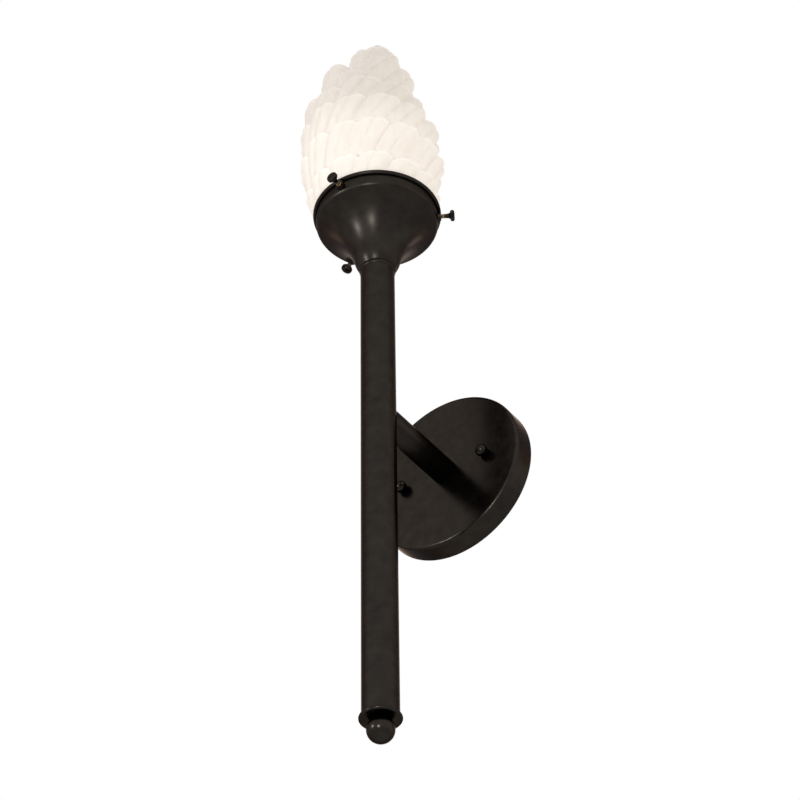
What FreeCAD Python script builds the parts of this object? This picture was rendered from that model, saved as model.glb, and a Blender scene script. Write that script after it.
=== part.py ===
import FreeCAD, Part

import math
import os
import re
import Sketcher

# Torch sconce: a round wall plate, a straight arm, an upright tube with a ball at its foot, and a spun
# bell that holds a flame-shaped glass shade over one medium-base lamp.
# Frame: origin on the wall at the middle of the plate, +Z up, -Y into the room, +X to the right.

doc = FreeCAD.newDocument("TorchSconce")
sheet = doc.addObject("Spreadsheet::Sheet", "Sizes")

SIZES = [
    # wall plate and what holds it
    ("plate_od", 127.0, "5 in round plate"),
    ("plate_depth", 17.1, "depth of the plate from the wall to its face"),
    ("plate_wall", 1.3, "sheet of the plate"),
    ("plate_edge", 2.2, "outside bend between face and rim"),
    ("bar_length", 108.0, "mounting bar"),
    ("bar_width", 20.0, "mounting bar"),
    ("bar_thick", 2.0, "mounting bar"),
    ("bar_centre_hole", 11.0, "open hole in the middle of the bar"),
    ("slot_spacing", 88.9, "3-1/2 in between the box screws"),
    ("slot_width", 4.8, "slot for a box screw"),
    ("slot_length", 8.4, "slot end to end"),
    ("stud_spacing", 69.85, "2-3/4 in between the plate's studs"),
    ("stud_dia", 4.17, "size 8 machine thread"),
    ("stud_nut_flats", 8.73, "hex nut on a stud"),
    ("stud_nut_thick", 3.2, "hex nut on a stud"),
    ("stud_reach", 4.2, "stud beyond the plate's face"),
    ("ball_nut_dia", 9.0, "round cap nut"),
    ("ball_nut_centre", 3.6, "ball's centre from its flat foot"),
    ("ball_nut_bore_depth", 5.6, "blind thread of the cap nut"),
    ("thread_gap", 0.05, "radial clearance of a thread or a hole over what passes through it"),
    ("face_gap", 0.1, "clearance under the flat foot of a piece that turns or slides"),
    ("ground_screw_offset", 18.0, "ground screw from the bar's middle"),
    ("ground_screw_dia", 3.6, "ground screw's shank"),
    ("ground_head_dia", 8.4, "ground screw's head"),
    ("ground_head_thick", 2.6, "ground screw's head"),
    # arm
    ("arm_reach", 96.7, "wall to the upright tube's axis"),
    ("arm_od", 19.05, "3/4 in tube"),
    ("arm_wall", 1.2, "tube wall"),
    ("braze_radius", 2.4, "braze fillet between arm and upright tube"),
    ("bushing_length", 9.5, "threaded bushing brazed into a tube's end"),
    ("pipe_od", 10.29, "1/8 in lamp pipe"),
    ("pipe_bore", 6.7, "1/8 in lamp pipe"),
    ("locknut_flats", 15.9, "hex locknut on the lamp pipe"),
    ("locknut_thick", 3.0, "hex locknut on the lamp pipe"),
    ("washer_od", 22.0, "lock washer behind the plate"),
    ("washer_thick", 1.2, "lock washer behind the plate"),
    ("pipe_proud", 0.6, "lamp pipe beyond its locknut"),
    ("pipe_short", 1.0, "lamp pipe short of its bushing's inner end"),
    # upright tube and its foot
    ("tube_od", 25.0, "1 in tube"),
    ("tube_wall", 1.2, "tube wall"),
    ("tube_below", 253.0, "tube's foot below the arm"),
    ("tube_above", 133.4, "tube's top above the arm"),
    ("wire_hole", 15.0, "hole in the upright tube for the leads"),
    ("ring_od", 28.6, "ring under the tube"),
    ("ring_thick", 2.6, "ring under the tube"),
    ("finial_dia", 18.8, "ball at the foot"),
    ("finial_centre", 7.0, "ball's centre below its flat top"),
    ("finial_bore_depth", 7.5, "blind thread in the ball"),
    ("finial_grip", 6.8, "lamp pipe inside the ball"),
    # spun bell that holds the shade
    ("bell_wall", 0.9, "spun sheet"),
    ("bell_corner", 3.1, "outside bend at the bell's foot"),
    ("flare_radius", 56.8, "sweep of the bell"),
    ("flare_start", 4.7, "tilt of the sweep at the foot, degrees"),
    ("flare_end", 59.75, "tilt of the sweep at the shoulder, degrees"),
    ("shoulder_radius", 4.0, "bend between sweep and band"),
    ("band_radius", 45.3, "outside of the upright band"),
    ("bell_height", 60.2, "foot to the top of the rolled bead"),
    ("bead_radius", 1.6, "rolled bead at the rim"),
    ("screw_drop", 6.6, "thumb screws below the rim"),
    ("screw_dia", 3.5, "size 6 thumb screw"),
    ("screw_head_dia", 8.3, "thumb screw's knurled head"),
    ("screw_head_thick", 3.2, "thumb screw's knurled head"),
    ("screw_head_reach", 54.4, "tube's axis to the under side of a screw head"),
    ("screw_head_ease", 0.65, "bevel round the head's edges"),
    ("screw_cone", 0.8, "swell of the shank under the head"),
    ("screw_point", 0.5, "bevel at the screw's tip"),
    ("screw_tip_gap", 0.3, "screw tip to the glass"),
    ("boss_dia", 6.6, "threaded boss on the band"),
    ("boss_reach", 2.2, "boss outside the band"),
    ("boss_rivet_dia", 5.0, "boss where it passes through the band"),
    ("boss_swage", 0.2, "boss proud of the band's inside"),
    # lampholder
    ("strap_rise", 9.4, "lampholder strap above the bell's foot"),
    ("strap_thick", 1.6, "strap sheet"),
    ("strap_width", 14.0, "strap across the lamp pipe"),
    ("strap_span", 23.0, "strap over its two legs"),
    ("holder_rise", 20.0, "lampholder's base above the bell's foot"),
    ("holder_base_dia", 27.0, "porcelain base"),
    ("holder_base_length", 7.0, "porcelain base"),
    ("holder_dia", 37.0, "porcelain body"),
    ("holder_length", 37.0, "porcelain body, base and all"),
    ("holder_floor", 9.4, "base to the floor of the cup"),
    ("shell_wall", 0.5, "brass screw shell"),
    ("shell_foot", 1.6, "screw shell above the floor of the cup"),
    ("shell_rim_drop", 1.5, "screw shell below the mouth of the cup"),
    ("shell_lip", 2.5, "inward lip of the screw shell"),
    ("contact_thick", 0.4, "centre contact strip"),
    ("contact_length", 13.0, "centre contact strip"),
    ("contact_width", 5.0, "centre contact strip"),
    ("contact_rise", 1.4, "centre contact above the floor of the cup"),
    ("terminal_dia", 3.2, "terminal screw's shank"),
    ("terminal_length", 5.0, "terminal screw's shank"),
    ("terminal_head_dia", 6.0, "terminal screw's head"),
    ("terminal_head_thick", 1.8, "terminal screw's head"),
    # lamp
    ("lamp_cap_dia", 26.0, "medium base"),
    ("lamp_cap_length", 24.0, "medium base"),
    ("lamp_cap_wall", 0.5, "base shell"),
    ("lamp_length", 104.0, "lamp from its contact to its top"),
    ("lamp_dia", 60.0, "lamp globe"),
    ("lamp_glass", 0.9, "globe wall"),
    ("globe_tilt", 32.0, "where the straight shoulder leaves the sphere, degrees"),
    ("lamp_neck_dia", 24.4, "globe where it enters the base"),
    ("lamp_cap_taper", 2.8, "height of the cone at the foot of the base shell"),
    ("lamp_gap", 0.2, "lamp's contact above the spring contact"),
    ("lamp_insulator_dia", 17.0, "black glass at the foot of the base"),
    ("lamp_insulator_height", 2.2, "black glass below the base shell"),
    ("lamp_contact_dia", 9.0, "solder contact"),
    ("lamp_contact_thick", 1.2, "solder contact"),
    ("lamp_stem_dia", 7.0, "glass stem inside the globe"),
    ("filament_dia", 0.8, "filament and its two posts"),
    ("filament_span", 22.0, "filament across its posts"),
    # glass shade
    ("fitter_dia", 82.5, "3-1/4 in lip of the shade"),
    ("lip_height", 4.4, "lip of the shade"),
    ("seat_gap", 0.05, "lip above the bell's seat"),
    ("neck_dia", 77.0, "neck above the lip"),
    ("neck_height", 4.8, "straight neck above the lip"),
    ("neck_flare", 7.5, "height of the swell above the neck"),
    ("mouth_dia", 69.0, "opening at the foot of the shade"),
    ("shade_height", 198.0, "lip to the top of the flame"),
    ("shade_dia", 108.0, "across the widest tips"),
    ("shade_lean", 7.5, "how far the flame's middle stands off the axis"),
    ("shade_wall", 4.0, "glass behind a furrow"),
    ("tongue_length", 46.0, "a tongue from its hidden foot to its tip"),
    ("tongue_fullness", 0.59, "half a tongue's breadth as a share of the tongues' spacing"),
    ("tip_slope", 1.35, "slope of the cut behind a tongue's tip"),
    ("tip_fall", 10.0, "depth of the cut behind a tongue's tip"),
    ("crest_dia", 9.6, "round end of the flame's own tip"),
    ("crest_foot_dia", 16.0, "foot of the flame's own tip"),
    # leads
    ("lead_dia", 2.0, "insulated lead"),
    ("lead_spread", 1.3, "each lead from the middle of the pipe"),
    ("lead_set_back", 5.5, "leads in front of the tube's axis beside the arm"),
    ("lead_bend", 26.0, "leads where they turn into the arm"),
    ("cap_dia", 11.0, "wire nut's mouth"),
    ("cap_tip_dia", 6.5, "wire nut's closed end"),
    ("cap_length", 20.0, "wire nut"),
    ("cap_skirt", 4.0, "depth of the wire nut's open mouth"),
    ("cap_skirt_dia", 8.4, "wire nut's open mouth"),
    ("cap_bore_depth", 14.0, "wire nut's bore"),
    ("splice_depth", 7.9, "wire nuts from the wall"),
    ("splice_offset", 14.0, "wire nuts from the middle of the plate"),
    ("splice_rise", 18.0, "mouths of the wire nuts from the middle of the plate"),
]

for row, (alias, value, meaning) in enumerate(SIZES, start=1):
    sheet.set(f"A{row}", meaning)
    sheet.set(f"B{row}", str(value))
    sheet.setAlias(f"B{row}", alias)
doc.recompute()

ALIASES = {alias for alias, value, meaning in SIZES}
X, Y, Z = FreeCAD.Vector(1, 0, 0), FreeCAD.Vector(0, 1, 0), FreeCAD.Vector(0, 0, 1)


def bound(text):
    """An expression whose size names point at the sheet's cells."""
    return re.sub(r"[a-z][a-z_]+", lambda m: "Sizes." + m[0] if m[0] in ALIASES else m[0], str(text))


def value(text):
    """The number that an expression of size names gives now."""
    return float(sheet.evalExpression(bound(text)))


def bind(obj, **properties):
    """Ties properties to expressions; Base_x stands for Placement.Base.x."""
    for key, text in properties.items():
        path = "Placement." + key.replace("_", ".") if key.startswith("Base_") else key
        obj.setExpression(path, bound(text))
    return obj


def put(obj, x="0", y="0", z="0", towards=Z, turn=0.0):
    """Places a piece: its own +Z goes towards a direction, after a turn about its own axis."""
    turned_by = FreeCAD.Rotation(Z, turn)
    obj.Placement.Rotation = FreeCAD.Rotation(Z, towards).multiply(turned_by)
    return bind(obj, Base_x=x, Base_y=y, Base_z=z)


def plane(body, role):
    return next(f for f in body.Origin.OriginFeatures if f.Role == role)


def sketch_on(body, name, role):
    sketch = body.newObject("Sketcher::SketchObject", name)
    sketch.AttachmentSupport = [(plane(body, role), "")]
    sketch.MapMode = "FlatFace"
    return sketch


def constrain(sketch, text, *args):
    """Adds one dimension and ties it to its expression, or pins the point to an axis where it is 0."""
    if str(text) == "0":
        axis = -2 if args[0] == "DistanceX" else -1
        sketch.addConstraint(Sketcher.Constraint("PointOnObject", args[3], args[4], axis))
        return
    index = sketch.addConstraint(Sketcher.Constraint(*args, value(text)))
    sketch.setExpression(f"Constraints[{index}]", bound(text))


def outline(sketch, points):
    """A closed outline. Each point is (x, y), or (x, y, radius) where an arc of that radius leads to it.
    A positive radius turns left on the way to the point and a negative one turns right."""
    corners = [FreeCAD.Vector(value(p[0]), value(p[1]), 0) for p in points]
    ends = []
    for i, point in enumerate(points):
        a, b = corners[i - 1], corners[i]
        if len(point) == 2:
            ends.append((sketch.addGeometry(Part.LineSegment(a, b), False), 1, 2))
            continue
        radius = value(point[2])
        chord = b - a
        rise = math.sqrt(max(radius**2 - chord.Length**2 / 4, 0))
        side = FreeCAD.Vector(-chord.y, chord.x, 0).normalize() * math.copysign(rise, radius)
        centre = (a + b) * 0.5 + side
        first, last = (a, b) if radius > 0 else (b, a)
        angles = [math.atan2(p.y - centre.y, p.x - centre.x) for p in (first, last)]
        arc = Part.ArcOfCircle(Part.Circle(centre, Z, abs(radius)), *angles)
        ends.append((sketch.addGeometry(arc, False), *((1, 2) if radius > 0 else (2, 1))))
    for i, point in enumerate(points):
        here, following = ends[i], ends[(i + 1) % len(points)]
        sketch.addConstraint(Sketcher.Constraint("Coincident", here[0], here[2], following[0], following[1]))
        constrain(sketch, point[0], "DistanceX", -1, 1, here[0], here[2])
        constrain(sketch, point[1], "DistanceY", -1, 1, here[0], here[2])
        if len(point) == 3:
            constrain(sketch, point[2].lstrip("-"), "Radius", here[0])


def circles(sketch, places):
    """Circles of (x, y, diameter)."""
    for x, y, diameter in places:
        centre = FreeCAD.Vector(value(x), value(y), 0)
        ring = sketch.addGeometry(Part.Circle(centre, Z, value(diameter) / 2), False)
        for text, kind in ((x, "DistanceX"), (y, "DistanceY")):
            if str(text).startswith("-"):
                index = sketch.addConstraint(Sketcher.Constraint(kind, ring, 3, -1, 1, -value(text)))
                sketch.setExpression(f"Constraints[{index}]", bound(text[1:]))
            else:
                constrain(sketch, text, kind, -1, 1, ring, 3)
        constrain(sketch, diameter, "Diameter", ring)


def turned(name, points):
    """A piece of revolution about its own Z, from an outline of radius and height."""
    body = doc.addObject("PartDesign::Body", name)
    sketch = sketch_on(body, name + "_outline", "XZ_Plane")
    outline(sketch, points)
    revolution = body.newObject("PartDesign::Revolution", name + "_turned")
    revolution.Profile = sketch
    revolution.ReferenceAxis = (sketch, ["V_Axis"])
    revolution.Angle = 360
    sketch.Visibility = False
    return body


def drilled(body, name, role, places, **how):
    """Round holes through a body from a sketch on one of its own planes."""
    sketch = sketch_on(body, name + "_places", role)
    circles(sketch, places)
    doc.recompute()
    before = body.Shape.Volume
    pocket = body.newObject("PartDesign::Pocket", name)
    pocket.Profile = sketch
    pocket.Type = "ThroughAll"
    for key, setting in how.items():
        setattr(pocket, key, setting)
    doc.recompute()
    assert body.Shape.Volume < before - 0.1, f"{name} cuts nothing"
    return pocket


def cylinder(name, radius, height, x="0", y="0", z="0", towards=Z):
    solid = bind(doc.addObject("Part::Cylinder", name), Radius=radius, Height=height)
    return put(solid, x, y, z, towards)


def box(name, length, width, height, x, y, z):
    solid = bind(doc.addObject("Part::Box", name), Length=length, Width=width, Height=height)
    return bind(solid, Base_x=x, Base_y=y, Base_z=z)


def joined(name, *solids):
    fuse = doc.addObject("Part::MultiFuse", name)
    fuse.Shapes = list(solids)
    return fuse


def cut(name, base, *tools):
    result = doc.addObject("Part::Cut", name)
    result.Base = base
    result.Tool = tools[0] if len(tools) == 1 else joined(name + "_tools", *tools)
    return result


def pipe(name, outside, inside, length):
    """A round tube or ring from radii and a length."""
    bore = cylinder(name + "_bore", inside, f"{length} + 2", z="-1")
    return cut(name, cylinder(name + "_outside", outside, length), bore)


def hex_nut(name, flats, thick, hole):
    prism = bind(doc.addObject("Part::Prism", name + "_hex"), Circumradius=f"{flats} / sqrt(3)", Height=thick)
    prism.Polygon = 6
    return cut(name, prism, cylinder(name + "_thread", hole, f"{thick} + 2", z="-1"))


def group(name, *members):
    compound = doc.addObject("Part::Compound", name)
    compound.Links = list(members)
    return compound


PIECES = []  # every sub-part in the order it is put on


def piece(obj):
    PIECES.append(obj)
    return obj


# ---------------------------------------------------------------- wall plate and mounting bar
# The plate is a shallow spun pan, open to the wall. The steel bar behind it is screwed to the wall box
# through its two end slots, and carries two studs that the ball nuts draw the plate on to.
plate = turned(
    "backplate",
    [
        ("plate_od / 2 - plate_wall", "0"),
        ("plate_od / 2", "0"),
        ("plate_od / 2", "plate_depth - plate_edge"),
        ("plate_od / 2 - plate_edge", "plate_depth", "plate_edge"),
        ("pipe_od / 2 + thread_gap", "plate_depth"),
        ("pipe_od / 2 + thread_gap", "plate_depth - plate_wall"),
        ("plate_od / 2 - plate_edge", "plate_depth - plate_wall"),
        ("plate_od / 2 - plate_wall", "plate_depth - plate_edge", "-(plate_edge - plate_wall)"),
    ],
)
drilled(
    plate,
    "stud_holes",
    "XY_Plane",
    [
        ("stud_spacing / 2", "0", "stud_dia + 2 * thread_gap"),
        ("-stud_spacing / 2", "0", "stud_dia + 2 * thread_gap"),
    ],
    Midplane=True,
)
piece(put(plate, towards=-Y))


def through_bar(name, radius, x="0"):
    """A round cutter that passes right through the mounting bar."""
    return cylinder(name, radius, "bar_thick + 2", x=x, z="-1")


bar_tools = [
    through_bar("bar_middle", "bar_centre_hole / 2"),
    through_bar("bar_ground_hole", "ground_screw_dia / 2 + thread_gap", "-ground_screw_offset"),
]
for side, sign in (("right", ""), ("left", "-")):
    tap = through_bar(f"bar_tap_{side}", "stud_dia / 2 + thread_gap", f"{sign}stud_spacing / 2")
    middle, straight = f"{sign}slot_spacing / 2", "(slot_length - slot_width)"
    slot = box(
        f"bar_slot_{side}", straight, "slot_width", "bar_thick + 2",
        f"{middle} - {straight} / 2", "-slot_width / 2", "-1",
    )
    outer = through_bar(f"bar_slot_{side}_out", "slot_width / 2", f"{middle} + {straight} / 2")
    inner = through_bar(f"bar_slot_{side}_in", "slot_width / 2", f"{middle} - {straight} / 2")
    bar_tools += [tap, joined(f"bar_slot_{side}_whole", slot, outer, inner)]
bar_blank = box("bar_blank", "bar_length", "bar_width", "bar_thick", "-bar_length / 2", "-bar_width / 2", "0")
piece(put(cut("crossbar", bar_blank, *bar_tools), towards=-Y))

studs, stud_nuts = [], []
for side, sign in (("right", ""), ("left", "-")):
    across = f"{sign}stud_spacing / 2"
    studs.append(cylinder(f"stud_{side}", "stud_dia / 2", "plate_depth + stud_reach", x=across, towards=-Y))
    nut = hex_nut(f"stud_nut_{side}", "stud_nut_flats", "stud_nut_thick", "stud_dia / 2 + thread_gap")
    stud_nuts.append(put(nut, x=across, y="-bar_thick", towards=-Y))
piece(group("mounting_studs", *studs))
piece(group("stud_nuts", *stud_nuts))

for side, sign in (("right", ""), ("left", "-")):
    foot = "sqrt((ball_nut_dia / 2) ^ 2 - ball_nut_centre ^ 2)"
    ball_nut = turned(
        f"ball_nut_{side}",
        [
            ("stud_dia / 2 + thread_gap", "0"),
            (foot, "0"),
            ("0", "ball_nut_centre + ball_nut_dia / 2", "ball_nut_dia / 2"),
            ("0", "ball_nut_bore_depth"),
            ("stud_dia / 2 + thread_gap", "ball_nut_bore_depth"),
        ],
    )
    piece(put(ball_nut, x=f"{sign}stud_spacing / 2", y="-(plate_depth + face_gap)", towards=-Y))

ground_screw = turned(
    "ground_screw",
    [
        ("0", "0"),
        ("ground_screw_dia / 2", "0"),
        ("ground_screw_dia / 2", "bar_thick"),
        ("ground_head_dia / 2", "bar_thick"),
        ("ground_head_dia / 2", "bar_thick + ground_head_thick"),
        ("0", "bar_thick + ground_head_thick"),
    ],
)
piece(put(ground_screw, x="-ground_screw_offset", towards=-Y))

# ---------------------------------------------------------------- arm
# A length of straight tube, coped to the upright tube and brazed there. A threaded bushing closes its
# wall end, and a short lamp pipe with a lock washer and a locknut draws it up against the plate.
tube_radius, tube_bore = "tube_od / 2", "tube_od / 2 - tube_wall"
arm_length = "arm_reach - plate_depth"
arm_blank = cylinder("arm_outside", "arm_od / 2", arm_length)
arm_bore = cylinder("arm_bore", "arm_od / 2 - arm_wall", f"{arm_length} + 2", z="-1")
arm_cope = cylinder("arm_cope", tube_radius, "arm_od * 2", y="-arm_od", z=arm_length, towards=Y)
piece(put(cut("arm_tube", arm_blank, arm_bore, arm_cope), y="-plate_depth", towards=-Y))

arm_bushing = pipe("arm_bushing", "arm_od / 2 - arm_wall", "pipe_od / 2 + thread_gap", "bushing_length")
piece(put(arm_bushing, y="-plate_depth", towards=-Y))

pipe_start = "plate_depth - plate_wall - washer_thick - locknut_thick - pipe_proud"
arm_pipe_length = f"plate_depth + bushing_length - pipe_short - ({pipe_start})"
arm_nipple = pipe("arm_nipple", "pipe_od / 2", "pipe_bore / 2", arm_pipe_length)
piece(put(arm_nipple, y=f"-({pipe_start})", towards=-Y))

arm_washer = pipe("arm_washer", "washer_od / 2", "pipe_od / 2 + thread_gap", "washer_thick")
piece(put(arm_washer, y="-(plate_depth - plate_wall - washer_thick)", towards=-Y))

arm_locknut = hex_nut("arm_locknut", "locknut_flats", "locknut_thick", "pipe_od / 2 + thread_gap")
piece(put(arm_locknut, y="-(plate_depth - plate_wall - washer_thick - locknut_thick)", towards=-Y))


def braze_fillet():
    """The braze that fills the corner all round the arm where it meets the upright tube."""
    reach, radius = value("arm_reach"), value("tube_od / 2")
    upright_foot = FreeCAD.Vector(0, -reach, -2 * value("arm_od"))
    upright = Part.makeCylinder(radius, 4 * value("arm_od"), upright_foot, Z)
    arm = Part.makeCylinder(value("arm_od / 2"), reach, FreeCAD.Vector(0, -reach, 0), Y)
    whole = upright.fuse(arm)
    on_arm = value("arm_od / 2")
    seam = []
    for edge in whole.Edges:
        middle = edge.valueAt((edge.FirstParameter + edge.LastParameter) / 2)
        from_upright = math.hypot(middle.x, middle.y + reach)
        if abs(math.hypot(middle.x, middle.z) - on_arm) < 0.01 and abs(from_upright - radius) < 0.01:
            seam.append(edge)
    filled = whole.makeFillet(value("braze_radius"), seam)
    bead = filled.cut(upright).cut(arm)
    return max(bead.Solids, key=lambda s: s.Volume)


arm_braze = doc.addObject("Part::Feature", "arm_braze")
arm_braze.Shape = braze_fillet()
piece(arm_braze)

# ---------------------------------------------------------------- upright tube and its foot
# One long tube with a threaded bushing at each end. A ring and a ball close its foot on a lamp pipe.
tube_length = "tube_below + tube_above"
tube_hole = cylinder("tube_wire_hole", "wire_hole / 2", tube_radius + " + 2", z="tube_below", towards=Y)
tube_inside = cylinder("tube_inside", tube_bore, f"{tube_length} + 2", z="-1")
tube_outside = cylinder("tube_outside", tube_radius, tube_length)
main_tube = cut("main_tube", tube_outside, tube_inside, tube_hole)
piece(put(main_tube, y="-arm_reach", z="-tube_below"))

foot_bushing = pipe("foot_bushing", tube_bore, "pipe_od / 2 + thread_gap", "bushing_length")
piece(put(foot_bushing, y="-arm_reach", z="-tube_below"))
top_bushing = pipe("top_bushing", tube_bore, "pipe_od / 2 + thread_gap", "bushing_length")
piece(put(top_bushing, y="-arm_reach", z="tube_above - bushing_length"))

foot_pipe_length = "bushing_length - pipe_short + ring_thick + finial_grip"
foot_nipple = pipe("foot_nipple", "pipe_od / 2", "pipe_bore / 2", foot_pipe_length)
piece(put(foot_nipple, y="-arm_reach", z="-(tube_below + ring_thick + finial_grip)"))

foot_ring = turned(
    "foot_ring",
    [
        ("pipe_od / 2 + thread_gap", "0"),
        ("ring_od / 2 - ring_thick / 2", "0"),
        ("ring_od / 2", "ring_thick / 2", "ring_thick / 2"),
        ("ring_od / 2 - ring_thick / 2", "ring_thick", "ring_thick / 2"),
        ("pipe_od / 2 + thread_gap", "ring_thick"),
    ],
)
piece(put(foot_ring, y="-arm_reach", z="-(tube_below + ring_thick)"))

ball_flat = "sqrt((finial_dia / 2) ^ 2 - finial_centre ^ 2)"
ball_finial = turned(
    "ball_finial",
    [
        ("pipe_od / 2 + thread_gap", "0"),
        (ball_flat, "0"),
        ("0", "finial_centre + finial_dia / 2", "finial_dia / 2"),
        ("0", "finial_bore_depth"),
        ("pipe_od / 2 + thread_gap", "finial_bore_depth"),
    ],
)
piece(put(ball_finial, y="-arm_reach", z="-(tube_below + ring_thick + face_gap)", towards=-Z))

# ---------------------------------------------------------------- bell
# Spun from sheet: a small flat foot on the tube's end, a tangent bend into one long trumpet sweep, a
# tight shoulder, an upright band and a rim rolled outwards into a bead. The shade's lip sits on the
# inside of the sweep and three thumb screws in riveted bosses reach over the lip.
sweep_r = "(band_radius - shoulder_radius + (flare_radius + shoulder_radius) * cos(flare_end))"
sweep_h = "(bell_corner - (flare_radius + bell_corner) * sin(flare_start))"
foot_r = f"({sweep_r} - (flare_radius + bell_corner) * cos(flare_start))"
band_start = f"({sweep_h} + (flare_radius + shoulder_radius) * sin(flare_end))"
bead_h = "(bell_height - bead_radius)"
band_inside = "(band_radius - bell_wall)"


def on_sweep(radius, angle):
    """A point of the trumpet sweep, for the outside or the inside of the sheet."""
    return f"{sweep_r} - ({radius}) * cos({angle})", f"{sweep_h} + ({radius}) * sin({angle})"


sheet_outside, sheet_inside = "flare_radius", "flare_radius + bell_wall"
bell = turned(
    "bell_fitter",
    [
        ("pipe_od / 2 + thread_gap", "0"),
        (foot_r, "0"),
        (*on_sweep(sheet_outside, "flare_start"), "bell_corner"),
        (*on_sweep(sheet_outside, "flare_end"), "-flare_radius"),
        ("band_radius", band_start, "shoulder_radius"),
        ("band_radius", f"{bead_h} - sqrt(bead_radius ^ 2 - (bead_radius - bell_wall) ^ 2)"),
        (f"{band_inside} + 2 * bead_radius", bead_h, "bead_radius"),
        (f"{band_inside} + bead_radius", "bell_height", "bead_radius"),
        (band_inside, bead_h, "bead_radius"),
        (band_inside, band_start),
        (*on_sweep(sheet_inside, "flare_end"), "-(shoulder_radius - bell_wall)"),
        (*on_sweep(sheet_inside, "flare_start"), "flare_radius + bell_wall"),
        (foot_r, "bell_wall", "-(bell_corner - bell_wall)"),
        ("pipe_od / 2 + thread_gap", "bell_wall"),
    ],
)
screw_height = "(bell_height - screw_drop)"
boss_hole = drilled(bell, "boss_hole", "XZ_Plane", [("0", screw_height, "boss_rivet_dia")], Reversed=True)
hole_pattern = bell.newObject("PartDesign::PolarPattern", "boss_holes")
hole_pattern.Originals = [boss_hole]
hole_pattern.Axis = (plane(bell, "Z_Axis"), [""])
hole_pattern.Angle = 360
hole_pattern.Occurrences = 3
bell.Tip = hole_pattern
piece(put(bell, y="-arm_reach", z="tube_above"))

SCREWS = [("front", -90.0), ("right", 30.0), ("left", 150.0)]
screw_tip = "(neck_dia / 2 + screw_tip_gap)"
screw_shank = f"(screw_head_reach - {screw_tip})"


def screw_boss(side):
    """A threaded boss, its foot saddled to the band and its rivet swaged through the band's hole."""
    flange = cylinder(f"boss_flange_{side}", "boss_dia / 2", "boss_reach + bell_wall", z="-bell_wall")
    saddle = cylinder(
        f"boss_saddle_{side}", "band_radius + thread_gap", "boss_dia * 2",
        y="boss_dia", z="-band_radius", towards=-Y,
    )
    shaped = cut(f"boss_shaped_{side}", flange, saddle)
    rivet_radius = "boss_rivet_dia / 2 - thread_gap"
    rivet = cylinder(
        f"boss_rivet_{side}", rivet_radius, "2 * bell_wall + boss_swage", z="-bell_wall - boss_swage"
    )
    body = joined(f"boss_body_{side}", shaped, rivet)
    thread_radius = "screw_dia / 2 + thread_gap"
    thread = cylinder(f"boss_thread_{side}", thread_radius, "boss_dia * 3", z="-boss_dia * 1.5")
    return cut(f"boss_{side}", body, thread)


def thumb_screw(side):
    """A thumb screw from its tip: a plain shank, a small cone and a knurled head with eased edges."""
    shank_radius, head_radius = "screw_dia / 2", "screw_head_dia / 2"
    head_top = f"{screw_shank} + screw_head_thick"
    return turned(
        f"thumb_screw_{side}",
        [
            ("0", "0"),
            (f"{shank_radius} - screw_point", "0"),
            (shank_radius, "screw_point"),
            (shank_radius, f"{screw_shank} - 2 * screw_cone"),
            (f"{shank_radius} + screw_cone", screw_shank),
            (f"{head_radius} - screw_head_ease", screw_shank),
            (head_radius, f"{screw_shank} + screw_head_ease"),
            (head_radius, f"{head_top} - screw_head_ease"),
            (f"{head_radius} - screw_head_ease", head_top),
            ("0", head_top),
        ],
    )


bosses = []
for side, azimuth in SCREWS:
    outward = FreeCAD.Vector(math.cos(math.radians(azimuth)), math.sin(math.radians(azimuth)), 0)
    along_band = FreeCAD.Vector(-outward.y, outward.x, 0)
    east, north, height = f"cos({azimuth} deg)", f"sin({azimuth} deg)", f"tube_above + {screw_height}"
    boss = screw_boss(side)
    boss.Placement.Rotation = FreeCAD.Rotation(along_band, FreeCAD.Vector(), outward, "ZXY")
    bind(boss, Base_x=f"band_radius * {east}", Base_y=f"band_radius * {north} - arm_reach", Base_z=height)
    bosses.append(boss)
    screw = thumb_screw(side)
    piece(put(screw, f"{screw_tip} * {east}", f"{screw_tip} * {north} - arm_reach", height, towards=outward))
piece(group("screw_bosses", *bosses))

# ---------------------------------------------------------------- lampholder
# A locknut and a lamp pipe clamp the bell to the tube. The pipe carries a steel strap, and the strap a
# porcelain holder with a brass screw shell, a springy centre contact and two terminal screws.
bell_locknut = hex_nut("bell_locknut", "locknut_flats", "locknut_thick", "pipe_od / 2 + thread_gap")
piece(put(bell_locknut, y="-arm_reach", z="tube_above + bell_wall"))

holder_nipple_top = "(strap_rise + strap_thick + pipe_proud)"
holder_pipe_length = f"bushing_length - pipe_short + {holder_nipple_top}"
holder_nipple = pipe("holder_nipple", "pipe_od / 2", "pipe_bore / 2", holder_pipe_length)
piece(put(holder_nipple, y="-arm_reach", z="tube_above - bushing_length + pipe_short"))

strap_bridge = box(
    "strap_bridge", "strap_width", "strap_span", "strap_thick", "-strap_width / 2", "-strap_span / 2", "0"
)
strap_hole = cylinder("strap_hole", "pipe_od / 2 + thread_gap", "strap_thick + 2", z="-1")
strap_legs = []
for side, start in (("back", "strap_span / 2 - strap_thick"), ("front", "-strap_span / 2")):
    leg = box(
        f"strap_leg_{side}", "strap_width / 2", "strap_thick", "holder_rise - strap_rise",
        "-strap_width / 4", start, "0",
    )
    strap_legs.append(leg)
strap = cut("holder_strap", joined("strap_bent", strap_bridge, *strap_legs), strap_hole)
piece(put(strap, y="-arm_reach", z="tube_above + strap_rise"))

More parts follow.
